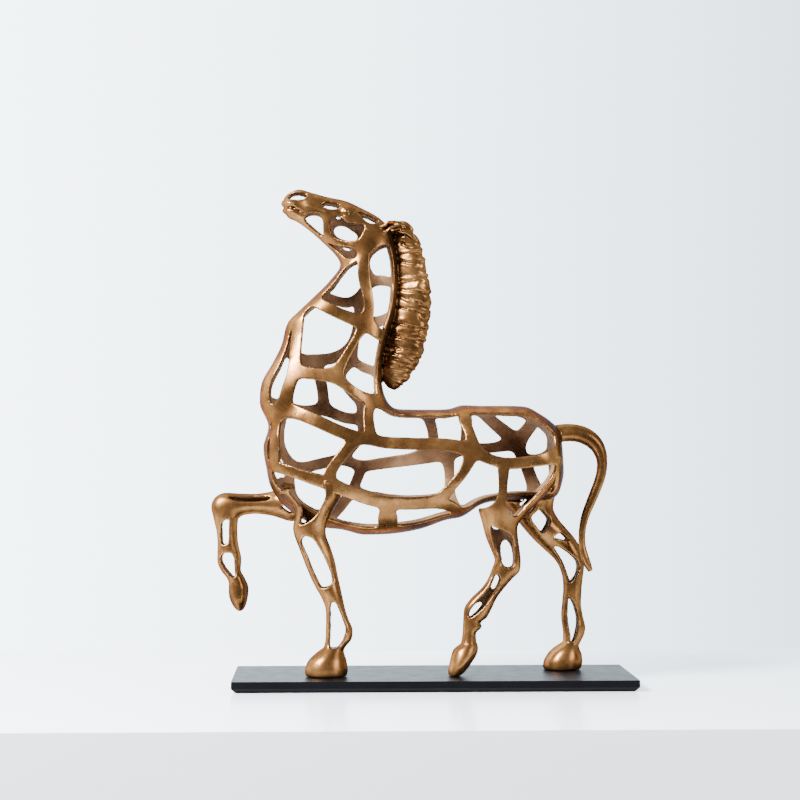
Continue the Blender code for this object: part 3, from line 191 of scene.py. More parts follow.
# Openings of the head, each drawn as a ring of points
NOSTRIL = rows_of("""-118.4 392.4, -116.4 396, -111.5 397.9, -105.6 397.4, -101.4 395.4, -103 392.2,
    -106 391, -112 390.9""")
BRIDGE = rows_of("""-90.4 386, -88.6 388.3, -85 389.4, -79.8 388.6, -75 387, -74.6 385, -79 382.8,
    -85 383.4""")
BIT = rows_of("""-104.2 374.8, -103.2 377.7, -99.9 379.7, -95.6 380.2, -91.3 379.2, -88.9 376.5,
    -89.2 364, -88.4 360.6, -91.5 362, -96 365.8, -102.6 371.8""")
CHEEK = rows_of("""-84.1 368, -83.7 373, -81.9 375.9, -78 377.4, -74.4 376.8, -70.5 372.2,
    -63.3 371.3, -56 370.8, -54.9 368, -58.3 361, -61.5 357.2, -70.5 356.9, -77 358.1,
    -82 361.2""")
TEMPLE = rows_of("""-62.4 382.4, -50.3 378.4, -42.6 374.2, -46 371.8, -51.4 371.4, -55.6 374.8""")
JAW = rows_of("""-86.8 356.4, -81 354.2, -75.5 352.6, -65.4 351.6, -61.8 349, -61.8 344, -66 342.8,
    -71.6 343.6, -75.8 347.2, -80.8 351.6""")
FAR_CHEEK = rows_of("""-80.8 367.5, -79 371.2, -74.6 372.7, -70.2 371.9, -65.8 368.7, -61.4 366.1,
    -60.5 363.5, -62.4 360.2, -70.2 360.2, -78 362.4""")
FAR_LID = rows_of("""-80 378, -77 380, -73.6 380.2, -75.4 378.2""")
FAR_JAW = rows_of("""-81.6 356.4, -77.5 354.1, -72.2 347.4, -75.3 349.3, -79.6 353.6""")
FAR_THROAT = rows_of("""-75.2 354.4, -66 353.6, -67 352, -72 351.6""")
LEFT_HEAD = [NOSTRIL, BRIDGE, BIT, CHEEK, TEMPLE, JAW]
RIGHT_HEAD = [NOSTRIL, BRIDGE, BIT, FAR_CHEEK, FAR_LID, TEMPLE, FAR_JAW, FAR_THROAT]

# Relief of the face, raised or sunk along a line: start, end, half width, height
FACE = rows_of("""
    -70.4 381.3 -69 381.5 2.5 2.6, -74.6 384.6 -65.4 384.8 1.5 1.3, -75.4 379.4 -72.4 378.2 1.3 -1,
    -66.6 379.6 -64.4 381.6 1.3 -1, -120.8 385.2 -112.9 384.3 0.9 -1.9,
    -112.9 384.3 -107.9 382 0.9 -1.6, -107.9 382 -103.6 379.6 0.8 -1, -119 388.2 -112 387.4 1.9 1.5,
    -118.4 381.8 -112.6 380.4 1.9 1.6, -101 385.6 -86 380.6 2.2 0.9, -113 389.2 -105 389 1 -0.7
""")

# Limb shells: front point, back point, half width, depth of the middle
LEFT_FORE = rows_of("""
    -124 154 -68 172 19 -19.5, -117.5 150 -70 163 18.5 -19.5, -112 144.5 -74.6 151 17.5 -20,
    -110.6 139 -81 140.5 15.5 -20.3, -111.6 133 -85 133 14 -20.7, -112.6 127 -86.3 126 12.5 -21,
    -111.3 120 -86 121 11.5 -21, -108.4 112.5 -83 113 10.5 -21, -104 101 -79.2 101.5 10 -20.5,
    -99 88.5 -76.5 88.5 9.6 -20, -94.3 79 -74.4 79 9.6 -20, -90 71.5 -72.7 71.5 9 -20,
    -86.8 63 -70.8 63 8 -20, -86.2 54 -68 54 7.6 -20, -86.5 46 -64.6 45.5 7.8 -20,
    -86.6 39 -65.4 38.5 7.8 -20, -88 31.5 -71 31.5 8 -20, -89 28 -72 28 8 -20
""")
LEFT_FORE_OPENINGS = [
    ("L", rows_of("""-117 190, -50 190, -50 158, -70 158.4, -79 161, -88 165, -87 158, -85.2 153.4,
        -89 143.3, -95 135.2, -102.1 130.7, -107.4 129.4, -107.2 134, -105.8 141, -109.6 147.6,
        -115.4 153.4, -118.4 164""")),
    ("R", rows_of("""-117 190, -55 190, -62 163, -76 152, -86 141, -95 134.4, -102.1 130.9,
        -107.4 130.4, -107.2 134, -105.8 141, -109.6 147.6, -115.4 153.4, -118.4 164""")),
    ("LR", rows_of("""-107.6 115, -103.6 121, -96.6 119.4, -91 111.5, -85 101, -79 86, -82 80.6,
        -90.6 78.6, -95 86, -101.6 103""")),
    ("LR", rows_of("""-84.2 64.6, -80 69.2, -75.8 65.2, -70.8 53, -68.8 45.5, -74 31.8, -84.6 31.2,
        -83.6 48""")),
]
LEFT_HIND = rows_of("""
    30 182 103.5 184 21 -19.5, 28 170 101 171 21.5 -19.5, 31 158 94 158.5 20.5 -20,
    34 148 84.5 148 19 -21, 35.8 139.8 76 139.8 16.5 -21.5, 38.4 131.5 68.5 131 14.5 -21,
    40.2 124 67 124.5 13 -21, 42.4 117 67.8 117 12 -20.5, 46 108.5 69 108.5 11 -20,
    48.6 101 69.8 101 10 -20, 46.4 94 69.2 93 9.5 -20, 43.2 86 62.5 85.5 9 -20,
    38 78.5 56 78 8.5 -20, 30 71 50.5 70.5 8 -20, 24.6 63.5 46.8 63 8 -20, 23.5 56 42.5 55 7.6 -20,
    23.2 50.5 37.4 51 7.4 -20, 23 47 38.8 47.6 7.4 -20, 22.8 43 33.8 42.5 7.4 -20,
    22 36.5 34 36.5 7.8 -20, 20 31 34 31 8 -20
""")
LEFT_HIND_OPENINGS = [
    ("L", rows_of("""10 200, 48.4 200, 49.3 175, 50.3 164, 50.2 156, 47.5 148, 42 143.8, 36 142,
        20 141.6, 10 142""")),
    ("L", rows_of("""59.6 200, 59 173, 57.4 163, 57 152, 57 142, 64.8 134.2, 70.5 141, 79.8 150.6,
        87.6 158.6, 94.4 167, 97.8 175, 99.5 200""")),
    ("R", rows_of("""10 200, 98 200, 97.8 175, 94.4 167, 87.6 158.6, 79.8 150.6, 70.5 141,
        64.8 134.2, 57 138, 46 140.6, 36 141.6, 10 142""")),
    ("L", rows_of("""43.4 129.2, 50 126.6, 58 123.6, 63.5 118.8, 65.4 108, 65.3 98.6, 61 94,
        54.6 97, 50.6 104.5, 46 114.6""")),
    ("R", rows_of("""54.3 114, 58.8 117.3, 63.4 113.2, 65.3 104.5, 64.8 96.8, 60.5 94.2, 54.4 97.4,
        53.3 106""")),
    ("R", rows_of("""45 131, 50 128.6, 56 126.6, 51 124.4, 46.4 126""")),
    ("L", rows_of("""47.6 91.4, 52.2 89, 53.2 85, 49 74.4, 39 61.8, 28.4 54.6, 26.2 58.6, 29.6 65,
        38.4 73.6, 44 81.6""")),
    ("R", rows_of("""49 90.6, 53 86.4, 51.6 80, 49 76, 45.4 79.2, 47 85.4""")),
    ("R", rows_of("""26.2 58.4, 29.4 64, 35.6 67.4, 40 66.4, 36 60.6, 28 54.8""")),
]
RIGHT_HIND = rows_of("""
    48 182 105.5 184 20 19.5, 48 170 107 171 20.6 20, 51 158 104 159 20.5 20.5,
    56 149 101.8 150 19.5 21, 62.5 140.6 100.6 141.6 18 21.5, 69.5 132.5 104.4 133 16 21.5,
    76 124.5 111 125 14.5 21, 84 115.5 117.5 117.5 13 21, 93 107 122.5 109.5 11.8 21,
    101.5 99 125.6 101 10.6 21, 106 91 126 92.5 9.8 21, 108.2 82.5 124.8 83 9.4 21,
    108.6 74 123.9 74.5 9 21, 107.6 63.5 123.5 63 8 21, 106.8 53 124.9 52.5 7.6 21,
    107.5 45.5 127 43.5 7.8 21, 108.4 38.5 125.6 36.5 7.8 21, 108.2 30.5 121.4 28.5 8 21
""")
RIGHT_HIND_OPENINGS = [
    ("R", rows_of("""30 200, 69 200, 73 182, 76 172, 81.3 158, 79 152.8, 66 151.8, 56 152,
        30 153""")),
    ("R", rows_of("""83.6 200, 85.4 177, 90.8 163.6, 95.4 155.8, 100 161.5, 103.6 172,
        103.6 200""")),
    ("L", rows_of("""30 200, 103 200, 103.4 172, 100 160, 95 151, 84 147, 66 147, 30 148""")),
    ("LR", rows_of("""69.6 144.6, 76 147.6, 84.6 148.4, 84 143, 77.8 136.2""")),
    ("LR", rows_of("""79.4 132.9, 88.5 141.8, 97.2 133.6, 96.8 129.4, 90 119.4""")),
    ("LR", rows_of("""98.4 117, 104.9 121.6, 109.4 120.2, 113.8 114.4, 106 115.6""")),
    ("LR", rows_of("""98.8 109.2, 102 110.3, 108 107.6, 115 102.8, 120.8 97.8, 121.9 92, 119.4 85,
        113.2 79.6, 110.3 85, 106.8 96""")),
    ("LR", rows_of("""111.2 69.4, 116.6 64, 119.6 56.6, 121.1 48.4, 117 31, 112.8 31, 113.2 38,
        110.6 47, 110.5 58""")),
]
RIGHT_FORE = rows_of("""
    -106 162 -102 134 12.5 15, -118 158 -114 130.5 12 18.5, -131.5 155 -130 134.8 11.5 21,
    -145 153.2 -144 136.6 11 21, -158 153.6 -153 135.6 10.6 21, -168 154.2 -157 133.6 10.4 21,
    -176.4 151 -158 132 10.2 21, -180.3 143 -158.3 128.6 10 21, -178.6 134 -158.6 123 9.6 21,
    -175.8 122 -158.2 115 9.2 21, -175 110 -156.9 108 9 21, -175.3 99 -155.2 99.5 8.8 21,
    -172.5 91 -155.8 91 8.6 21, -167.5 84.5 -152.6 85 8.4 21, -165.6 80 -150.8 80 8.4 21
""")
RIGHT_FORE_OPENINGS = [
    ("L", rows_of("""-123 185, -80 185, -80 136.4, -101 136.4, -112 140, -119.6 144, -122 150""")),
    ("R", rows_of("""-115.5 185, -80 185, -80 136.4, -101 136.4, -111 141, -114.6 150""")),
    ("L", rows_of("""-167.4 151.6, -150 151.4, -132.5 152, -131.2 150, -134.6 147.6, -150 146.8,
        -161.5 147.8""")),
    ("LR", rows_of("""-124 144.4, -118.6 143.4, -113.6 140.4, -114 136.4, -119 139.4""")),
    ("LR", rows_of("""-172.4 128.4, -169.6 131.4, -164.2 133, -164.9 113.6, -170.4 111.2,
        -172.4 113.4""")),
    ("LR", rows_of("""-173 101.6, -170.4 105, -162.8 105.3, -159.9 101.6, -159 85.6, -163.8 85.2,
        -168.2 90.8, -172 96.6""")),
]

# Solid forms: front point, back point, half width, depth of the middle
MANE = rows_of("""
    -37 367 -24.5 371.6 6 0, -32.4 359.5 -16.5 366 8.5 0, -30 350.5 -10.6 358 10 0,
    -28.8 340 -6.6 345 10.6 0, -28.8 328 -3.6 330 11 0, -29.3 316 -1.4 315 11 0,
    -31 303 -1.8 301 11 0, -34 290 -3.4 288 11 0, -37.5 277 -6.2 274.5 11 0,
    -40.2 266 -10.2 262.5 10.5 0, -41.8 256 -17.2 250 9 0, -41.2 247 -25.2 241.2 6.5 0,
    -36.6 239.6 -30.6 237.2 2.6 0
""")
MANE_PLEATS = 16
MANE_FOLD_DEPTH = 1.5
MANE_FOLD_SEED = 4.0
MANE_FRONT_TAPER = 0.45
EAR = rows_of("""
    -50 368.4 -49 366.4 1.2 -10.5, -45 369.2 -42 363.8 3 -12, -40 371 -38 363.6 3.6 -13,
    -36 373.8 -34.6 366.6 3.2 -13.8, -31.5 373.9 -30.6 368.2 2.4 -14.4,
    -27 372.8 -26.4 369.6 1.5 -14.8, -23.6 372.2 -23.8 371.4 0.5 -15
""")
UPPER_LIP = rows_of("""
    -123 388.9 -123 388.1 1.2 0, -121.8 391 -121.4 386.2 5.4 0, -118 391.4 -117.6 385.8 8.8 0,
    -113 390.4 -113 385.6 10.2 0, -108.5 389 -108.5 385 9.4 0
""")
LOWER_LIP = rows_of("""
    -122 383.2 -122 382.4 1.2 0, -120.6 384.8 -120.2 380.4 5.2 0, -116.5 384.4 -116.2 378.6 8.6 0,
    -111.5 382.8 -111.5 377 9.6 0, -107 381 -107.2 376.4 8.6 0
""")
# Curled locks at the top of the mane, behind the ears
LOCKS = [rows_of("""
    -35 371.4 -33 369.4 1.4 -4, -29.5 374.4 -28 369.4 3.4 -6, -23 374.2 -23.4 368.6 4 -7.4,
    -18 371 -19.4 366.4 3.2 -8.4, -15 367 -16.4 364.6 1.2 -8.8
"""), rows_of("""
    -33 366.4 -32 364 1.4 -6, -27 368.6 -26.6 363.4 3.4 -8.2, -20 367.4 -21 361.8 3.8 -9.4,
    -14.6 363 -16.4 358.6 2.8 -9.8, -11.6 358.4 -13.4 356.4 1.2 -9.6
""")]
LEFT_FORE_HOOF = rows_of("""
    -88.8 31.4 -72 31.4 8 -20, -94.6 27 -71.4 27 10.8 -20, -100.2 21.5 -69.6 21.5 13.4 -20,
    -102.9 14.4 -68.6 14.4 14.8 -20, -102.9 11 -69 11 14.8 -20, -101.4 9 -70 9 14 -20
""")
RIGHT_HIND_HOOF = rows_of("""
    107.6 31 121.5 30 8 21, 102 27.6 121.8 26.6 11 21, 96.4 22.6 123.8 21.6 13.4 21,
    92.4 15.6 124.4 15.6 14.8 21, 91.8 11 123.4 11 14.8 21, 93.2 9 121.6 9 14 21
""")
LEFT_HIND_HOOF = rows_of("""
    20.4 33.6 34.6 35 8.4 -20, 15.6 29.8 35.5 31 10.6 -20, 13.7 24.6 34.2 25.4 12.2 -20,
    12.2 17.8 29.6 18.2 12.6 -20, 11.4 12.6 25.4 12.8 11.6 -20, 11.4 10.2 22.6 10.2 10 -20,
    12.6 9 20.6 9 8.6 -20
""")
RIGHT_FORE_HOOF = rows_of("""
    -165.4 83 -151.2 82 8.4 21, -165.9 76 -149.3 75.6 9.4 21, -165.4 69 -150 68.4 9.4 21,
    -163 62.9 -151.4 62.6 7.8 21, -160.2 59 -153.4 58.8 4.8 21, -157.6 57.2 -155.8 57.2 1.4 21
""")
# Tail: x, z and half thickness along its middle line
TAIL = rows_of("""
    98 202 7, 108 203 7.3, 117 202.6 7.1, 125 200 7, 131.6 195.2 6.4, 136 188.4 5.4, 138 180 4.4,
    137.5 171 4.2, 135.2 162.5 4.1, 131.8 154 4, 128.2 145.4 3.8, 124.6 136.4 3.4, 122.4 127.6 3,
    121.5 118.6 2.8, 122 110 3, 123.8 102 3.5, 126.6 95 3, 128.6 90.6 2
""")

# Points round a solid form, the height of a row of triangles on the sheet as a share of their
# side, and the share of a step that the grid keeps off a rim
RING_POINTS = 64
TRIANGLE_ROW = 0.87
CLEAR_OF_RIM = 0.62


def place(x, y, z):
    """Drawing units to metres, with the hooves a small gap above the plate."""
    return Vector((x * UNIT, y * UNIT, PLATE_HEIGHT + SEAT_GAP + (z - DRAWN_GROUND) * UNIT))


def spline(rows, position):
    """Smooth value of a table of rows at a fractional row number, without overshoot."""
    rows = np.asarray(rows, float)
    last = len(rows) - 1
    i = min(int(position), last - 1)
    t = position - i
    slopes = []
    for k in (i, i + 1):
        before = rows[k] - rows[max(k - 1, 0)]
        after = rows[min(k + 1, last)] - rows[k]
        steep = 3 * np.minimum(np.abs(before), np.abs(after))
        mean = (before + after) / 2
        slopes.append(np.where(before * after > 0, np.clip(mean, -steep, steep), 0.0))
    a, b = rows[i], rows[i + 1]
    h1 = 2 * t ** 3 - 3 * t ** 2 + 1
    h2 = t ** 3 - 2 * t ** 2 + t
    h3 = -2 * t ** 3 + 3 * t ** 2
    h4 = t ** 3 - t ** 2
    return a * h1 + slopes[0] * h2 + b * h3 + slopes[1] * h4


class Shell:
    """A tube drawn by stations, unrolled so that openings can be laid out on it."""

    # Rows between two stations, and how far the sheet is drawn on past its two ends
    ROWS = 24
    BEYOND = 40.0

    def __init__(self, stations, relief=()):
        self.relief = relief
        table = [(*s[:4], s[4] ** 2, s[5]) for s in stations]
        count = (len(table) - 1) * self.ROWS + 1
        self.rows = np.array([spline(table, k / self.ROWS) for k in range(count)])
        self.rows[:, 4] = np.sqrt(np.maximum(self.rows[:, 4], 0))
        ax, az, bx, bz, w, _ = self.rows.T
        middle = np.column_stack([(ax + bx) / 2, w, (az + bz) / 2])
        steps = np.linalg.norm(np.diff(middle, axis=0), axis=1)
        self.run = np.concatenate([[0], np.cumsum(steps)])
        height = np.hypot(ax - bx, az - bz) / 2
        self.girth = math.pi * np.sqrt((height ** 2 + w ** 2) / 2)
        before = self.rows[0] + (self.rows[0] - self.rows[1]) * self.BEYOND / steps[0]
        after = self.rows[-1] + (self.rows[-1] - self.rows[-2]) * self.BEYOND / steps[-1]
        self.long_rows = np.vstack([before, self.rows, after])
        self.long_run = np.concatenate([[-self.BEYOND], self.run, [self.run[-1] + self.BEYOND]])

    def girth_at(self, run):
        return np.interp(run, self.run, self.girth)

    def unroll(self, x, z):
        """Place of a side view point on the unrolled sheet, also beyond the sheet's edges."""
        ax, az, bx, bz = self.long_rows.T[:4]
        side = (bx - ax) * (z - az) - (bz - az) * (x - ax)
        length2 = (bx - ax) ** 2 + (bz - az) ** 2
        share = ((x - ax) * (bx - ax) + (z - az) * (bz - az)) / length2
        best = None
        for k in np.nonzero((side[:-1] * side[1:] <= 0) & (side[:-1] != side[1:]))[0]:
            f = side[k] / (side[k] - side[k + 1])
            t = share[k] * (1 - f) + share[k + 1] * f
            off = max(0.0, -t, t - 1)
            if best is None or off < best[0]:
                best = (off, k + f, t)
        if best is None:
            k = 0 if abs(side[0]) < abs(side[-1]) else len(side) - 1
            best = (0, k, share[k])
        where, t = best[1], best[2]
        run = np.interp(where, range(len(self.long_run)), self.long_run)
        length = math.sqrt(np.interp(where, range(len(length2)), length2))
        angle = math.acos(1 - 2 * min(max(t, 0.0), 1.0))
        over = (min(t, 0.0) + max(t - 1, 0.0)) * length
        return run, (angle / math.pi - 0.5) * self.girth_at(run) + over

    def raised(self, x, z):
        """Height of the relief at side view points."""
        height = np.zeros(np.shape(x))
        for x1, z1, x2, z2, half_width, most in self.relief:
            dx, dz = x2 - x1, z2 - z1
            along = np.clip(((x - x1) * dx + (z - z1) * dz) / (dx * dx + dz * dz), 0, 1)
            away = np.hypot(x - x1 - along * dx, z - z1 - along * dz) / half_width
            height = height + most * np.exp(-away ** 2)
        return height

    def detail_points(self):
        """Places on the sheet that the relief needs, in rings around each of its lines."""
        spots = []
        for x1, z1, x2, z2, half_width, _ in self.relief:
            count = max(2, round(2 * math.hypot(x2 - x1, z2 - z1) / half_width))
            for i in range(count + 1):
                x, z = x1 + (x2 - x1) * i / count, z1 + (z2 - z1) * i / count
                spots.append(self.unroll(x, z))
                for reach in (0.5 * half_width, half_width, 1.5 * half_width, 2.1 * half_width):
                    for turn in range(10):
                        angle = turn * math.pi / 5 + reach
                        spots.append(self.unroll(x + reach * math.cos(angle),
                                                 z + reach * math.sin(angle)))
        return spots

    def surface(self, run, across, side):
        """Points on the tube: side is -1 for the left half and 1 for the right half."""
        ax, az, bx, bz, w, c = (np.interp(run, self.run, self.rows[:, k]) for k in range(6))
        angle = np.clip((across / np.maximum(self.girth_at(run), 1e-6) + 0.5) * math.pi, 0, math.pi)
        t = (1 - np.cos(angle)) / 2
        x, z = ax + (bx - ax) * t, az + (bz - az) * t
        bulge = w * np.maximum(np.sin(angle), 0) ** FULLNESS
        return x, c + side * (bulge + self.raised(x, z) * np.minimum(w, 1)), z


def signed_area(ring):
    return sum(a[0] * b[1] - b[0] * a[1] for a, b in zip(ring, ring[1:] + ring[:1])) / 2


def inside(points, ring):
    """Which of many points lie inside a ring."""
    points = np.atleast_2d(points)
    hit = np.zeros(len(points), bool)
    x, y = points[:, 0], points[:, 1]
    for (ax, ay), (bx, by) in zip(ring, ring[1:] + ring[:1]):
        if ay != by:
            hit ^= ((ay > y) != (by > y)) & (x < (bx - ax) * (y - ay) / (by - ay) + ax)
    return hit


def rounded(ring, fillet=FILLET, steps=6):
    """A ring with each corner replaced by a smooth bend."""
    out = []
    count = len(ring)
    for i in range(count):
        p = Vector(ring[i])
        before = Vector(ring[i - 1]) - p
        after = Vector(ring[(i + 1) % count]) - p
        turn = math.pi - before.angle(after) if before.length and after.length else 0
        share, limit = (0.5, math.inf) if turn < CORNER_TURN else (0.32, fillet)
        a = p + before.normalized() * min(before.length * share, limit)
        b = p + after.normalized() * min(after.length * share, limit)
        for k in range(steps + 1):
            t = k / steps
            out.append(tuple(a * (1 - t) ** 2 + p * 2 * t * (1 - t) + b * t ** 2))
    return out


def resampled(ring, step):
    """The ring with even spacing."""
    points = np.array(ring + ring[:1])
    lengths = np.concatenate([[0], np.cumsum(np.linalg.norm(np.diff(points, axis=0), axis=1))])
    count = max(7, round(lengths[-1] / step))
    at = np.linspace(0, lengths[-1], count, endpoint=False)
    return [(np.interp(a, lengths, points[:, 0]), np.interp(a, lengths, points[:, 1])) for a in at]


def fields(joints, chains):
    """The rings of joints that enclose each field of a network of bands."""
    near = {name: set() for name in joints}
    for chain in chains:
        for a, b in zip(chain, chain[1:]):
            near[a].add(b)
            near[b].add(a)
    order = {}
    for name, others in near.items():
        x, z = joints[name][:2]
        order[name] = sorted(others, key=lambda o: math.atan2(joints[o][1] - z, joints[o][0] - x))
    seen = set()
    rings = []
    for a in near:
        for b in order[a]:
            ring = []
            u, v = a, b
            while (u, v) not in seen:
                seen.add((u, v))
                ring.append(u)
                turn = order[v]
                u, v = v, turn[turn.index(u) - 1]
            if len(ring) > 2 and signed_area([joints[n][:2] for n in ring]) > 0:
                rings.append(ring)
    return rings


def inset(ring, joints):
    """The opening inside a field: each side moved in by the half width of its band."""
    sides = []
    for a, b in zip(ring, ring[1:] + ring[:1]):
        pa, pb = Vector(joints[a][:2]), Vector(joints[b][:2])
        normal = Vector((pa.y - pb.y, pb.x - pa.x)).normalized()
        sides.append((pa + normal * joints[a][2], pb + normal * joints[b][2]))
    out = []
    for (a, b), (c, d) in zip(sides[-1:] + sides[:-1], sides):
        r, s = b - a, d - c
        cross = r.x * s.y - r.y * s.x
        corner = (b + c) / 2
        if abs(cross) > STRAIGHT * r.length * s.length:
            t = ((c - a).x * s.y - (c - a).y * s.x) / cross
            meet = a + r * t
            if (meet - corner).length < LONGEST_MITRE:
                corner = meet
        out.append(tuple(corner))
    return out


def body_openings(inner, chains, extra):
    """Side view rings of all openings on one side of the trunk, neck and head."""
    joints = dict(inner)
    for k, row in enumerate(BODY):
        joints["t%d" % k] = (row[0], row[1], row[5])
        joints["b%d" % k] = (row[2], row[3], row[6])
    joints["end"] = (106, 186, 8)
    last = len(BODY) - 1
    around = ["t%d" % k for k in range(last + 1)] + ["b%d" % k for k in range(last, -1, -1)]
    links = [chain.split() for chain in chains] + [around + ["end", "t0"]]
    rings = []
    for ring in fields(joints, links):
        outline = [joints[n][:2] for n in ring]
        if inside(PLATES, outline).any():
            continue
        opening = inset(ring, joints)
        if signed_area(opening) > SMALLEST_OPENING:
            rings.append(rounded(opening))
    return rings + [rounded(r) for r in extra]


def half_sheet(shell, rings, side):
    """Points and faces of one half of a shell, with its openings left out."""
    total = shell.run[-1]
    count = max(4, round(total / MESH_STEP))
    runs = [total * k / count for k in range(count + 1)]
    girths = [shell.girth_at(r) for r in runs]
    top = [(r, -g / 2) for r, g in zip(runs, girths)]
    bottom = [(r, g / 2) for r, g in zip(runs, girths)]
    ends = []
    for r, g in ((runs[-1], girths[-1]), (runs[0], girths[0])):
        n = max(2, round(g / MESH_STEP))
        ends.append([(r, -g / 2 + g * k / n) for k in range(1, n)])
    loops = [top + ends[0] + bottom[::-1] + ends[1][::-1]]
    for ring in rings:
        flat = resampled([shell.unroll(x, z) for x, z in ring], RIM_STEP)
        loops.append(flat if signed_area(flat) > 0 else flat[::-1])
    points, edges = [], []
    for loop in loops:
        start, n = len(points), len(loop)
        edges += [(start + k, start + (k + 1) % n) for k in range(n)]
        points += loop
    fixed = kdtree.KDTree(len(points))
    for i, p in enumerate(points):
        fixed.insert((*p, 0), i)
    fixed.balance()
    row_step = MESH_STEP * TRIANGLE_ROW
    rows = int(max(girths) / 2 / row_step) + 1
    for j in range(-rows, rows + 1):
        v = j * row_step
        for k in range(int(total / MESH_STEP) + 1):
            u = (k + 0.5 * (j % 2)) * MESH_STEP
            inward = min(u, total - u, shell.girth_at(u) / 2 - abs(v))
            if inward >= MESH_STEP / 2 and fixed.find((u, v, 0))[2] > MESH_STEP * CLEAR_OF_RIM:
                points.append((u, v))
    tree_points = np.array(points)
    for u, v in shell.detail_points():
        near = np.hypot(tree_points[:, 0] - u, tree_points[:, 1] - v).min()
        if near > DETAIL_STEP and 0 < u < total:
            points.append((u, v))
            tree_points = np.vstack([tree_points, (u, v)])
    coords, _, faces = delaunay_2d_cdt([Vector(p) for p in points], edges, [], 0, 1e-5)[:3]
    flat = np.array([tuple(p) for p in coords])
    faces = np.array([f for f in faces if len(f) == 3])
    centres = flat[faces].mean(axis=1)
    keep = np.abs(centres[:, 1]) <= shell.girth_at(centres[:, 0]) / 2
    keep &= (centres[:, 0] >= 0) & (centres[:, 0] <= total)
    for loop in loops[1:]:
        keep &= ~inside(centres, loop)
    faces = faces[keep]
    if side > 0:
        faces = faces[:, ::-1]
    x, y, z = shell.surface(flat[:, 0], flat[:, 1], side)
    return [place(*p) for p in zip(x, y, z)], faces.tolist()


def mesh_object(name, bm):
    mesh = bpy.data.meshes.new(name)
    bm.to_mesh(mesh)
    bm.free()
    obj = bpy.data.objects.new(name, mesh)
    bpy.context.scene.collection.objects.link(obj)
    return obj


def shell_object(name, stations, left, right, relief=()):
    """A pierced tube with its wall, as a mesh object."""
    shell = Shell(stations, relief)
    bm = bmesh.new()
    for side, rings in ((-1, left), (1, right)):
        points, faces = half_sheet(shell, rings, side)
        verts = [bm.verts.new(p) for p in points]
        for face in faces:
            bm.faces.new([verts[i] for i in face])
    loose = [v for v in bm.verts if not v.link_faces]
    bmesh.ops.delete(bm, geom=loose, context="VERTS")
    bmesh.ops.remove_doubles(bm, verts=bm.verts, dist=MERGE_GAP)
    bmesh.ops.dissolve_degenerate(bm, dist=0.00002, edges=bm.edges)
    obj = mesh_object(name, bm)
    wall = obj.modifiers.new("wall", "SOLIDIFY")
    wall.thickness = WALL
    wall.offset = -1
    wall.use_rim = True
    return obj


def limb_object(stations, openings):
    left = [rounded(ring) for sides, ring in openings if "L" in sides]
    right = [rounded(ring) for sides, ring in openings if "R" in sides]
    return shell_object("limb", stations, left, right)


def solid_object(name, stations, rows_each=8, mirror=1, taper=0.0, groove=0.0):
    """A closed form through oval sections, narrower in front by a taper, with an outer groove."""
    table = [(*s[:5], s[5] * mirror) for s in stations]
    bm = bmesh.new()
    along_layer = bm.verts.layers.float.new("along")
    around_layer = bm.verts.layers.float.new("around")
    rings = []
    count = (len(table) - 1) * rows_each
    for k in range(count + 1):
        ax, az, bx, bz, w, c = spline(table, k / rows_each)
        cx, cz, hx, hz = (ax + bx) / 2, (az + bz) / 2, (ax - bx) / 2, (az - bz) / 2
        ring = []
        for j in range(RING_POINTS):
            angle = 2 * math.pi * j / RING_POINTS
            back = math.cos(angle)
            out = w * math.sin(angle) * (1 - taper * (1 + back) / 2)
            if out * mirror < 0:
                fold = math.exp(-(back / GROOVE_SHARE) ** 2)
                out *= 1 - groove * fold * math.sin(math.pi * k / count)
            vert = bm.verts.new(place(cx + hx * back, c + out, cz + hz * back))
            vert[along_layer] = k / count
            vert[around_layer] = angle
            ring.append(vert)
        rings.append(ring)
    for a, b in zip(rings, rings[1:]):
        for j in range(RING_POINTS):
            bm.faces.new((a[j], a[(j + 1) % RING_POINTS], b[(j + 1) % RING_POINTS], b[j]))
    bm.faces.new(rings[0])
    bm.faces.new(rings[-1])
    bmesh.ops.recalc_face_normals(bm, faces=bm.faces)
    return mesh_object(name, bm)


class Tree:
    """Short calls for building a tree of nodes."""

    def __init__(self, tree):
        self.tree = tree

    def give(self, socket, value):
        """Puts a plain value, or what another node gives, on a socket."""
        if isinstance(value, bpy.types.NodeSocket):
            self.tree.links.new(value, socket)
        else:
            socket.default_value = value

    def add(self, kind, values, **settings):
        node = self.tree.nodes.new(kind)
        for key, value in settings.items():
            setattr(node, key, value)
        for socket, value in values.items():
            self.give(node.inputs[socket], value)
        return node

    def math(self, operation, a, b=0.0):
        return self.add("ShaderNodeMath", {0: a, 1: b}, operation=operation).outputs[0]


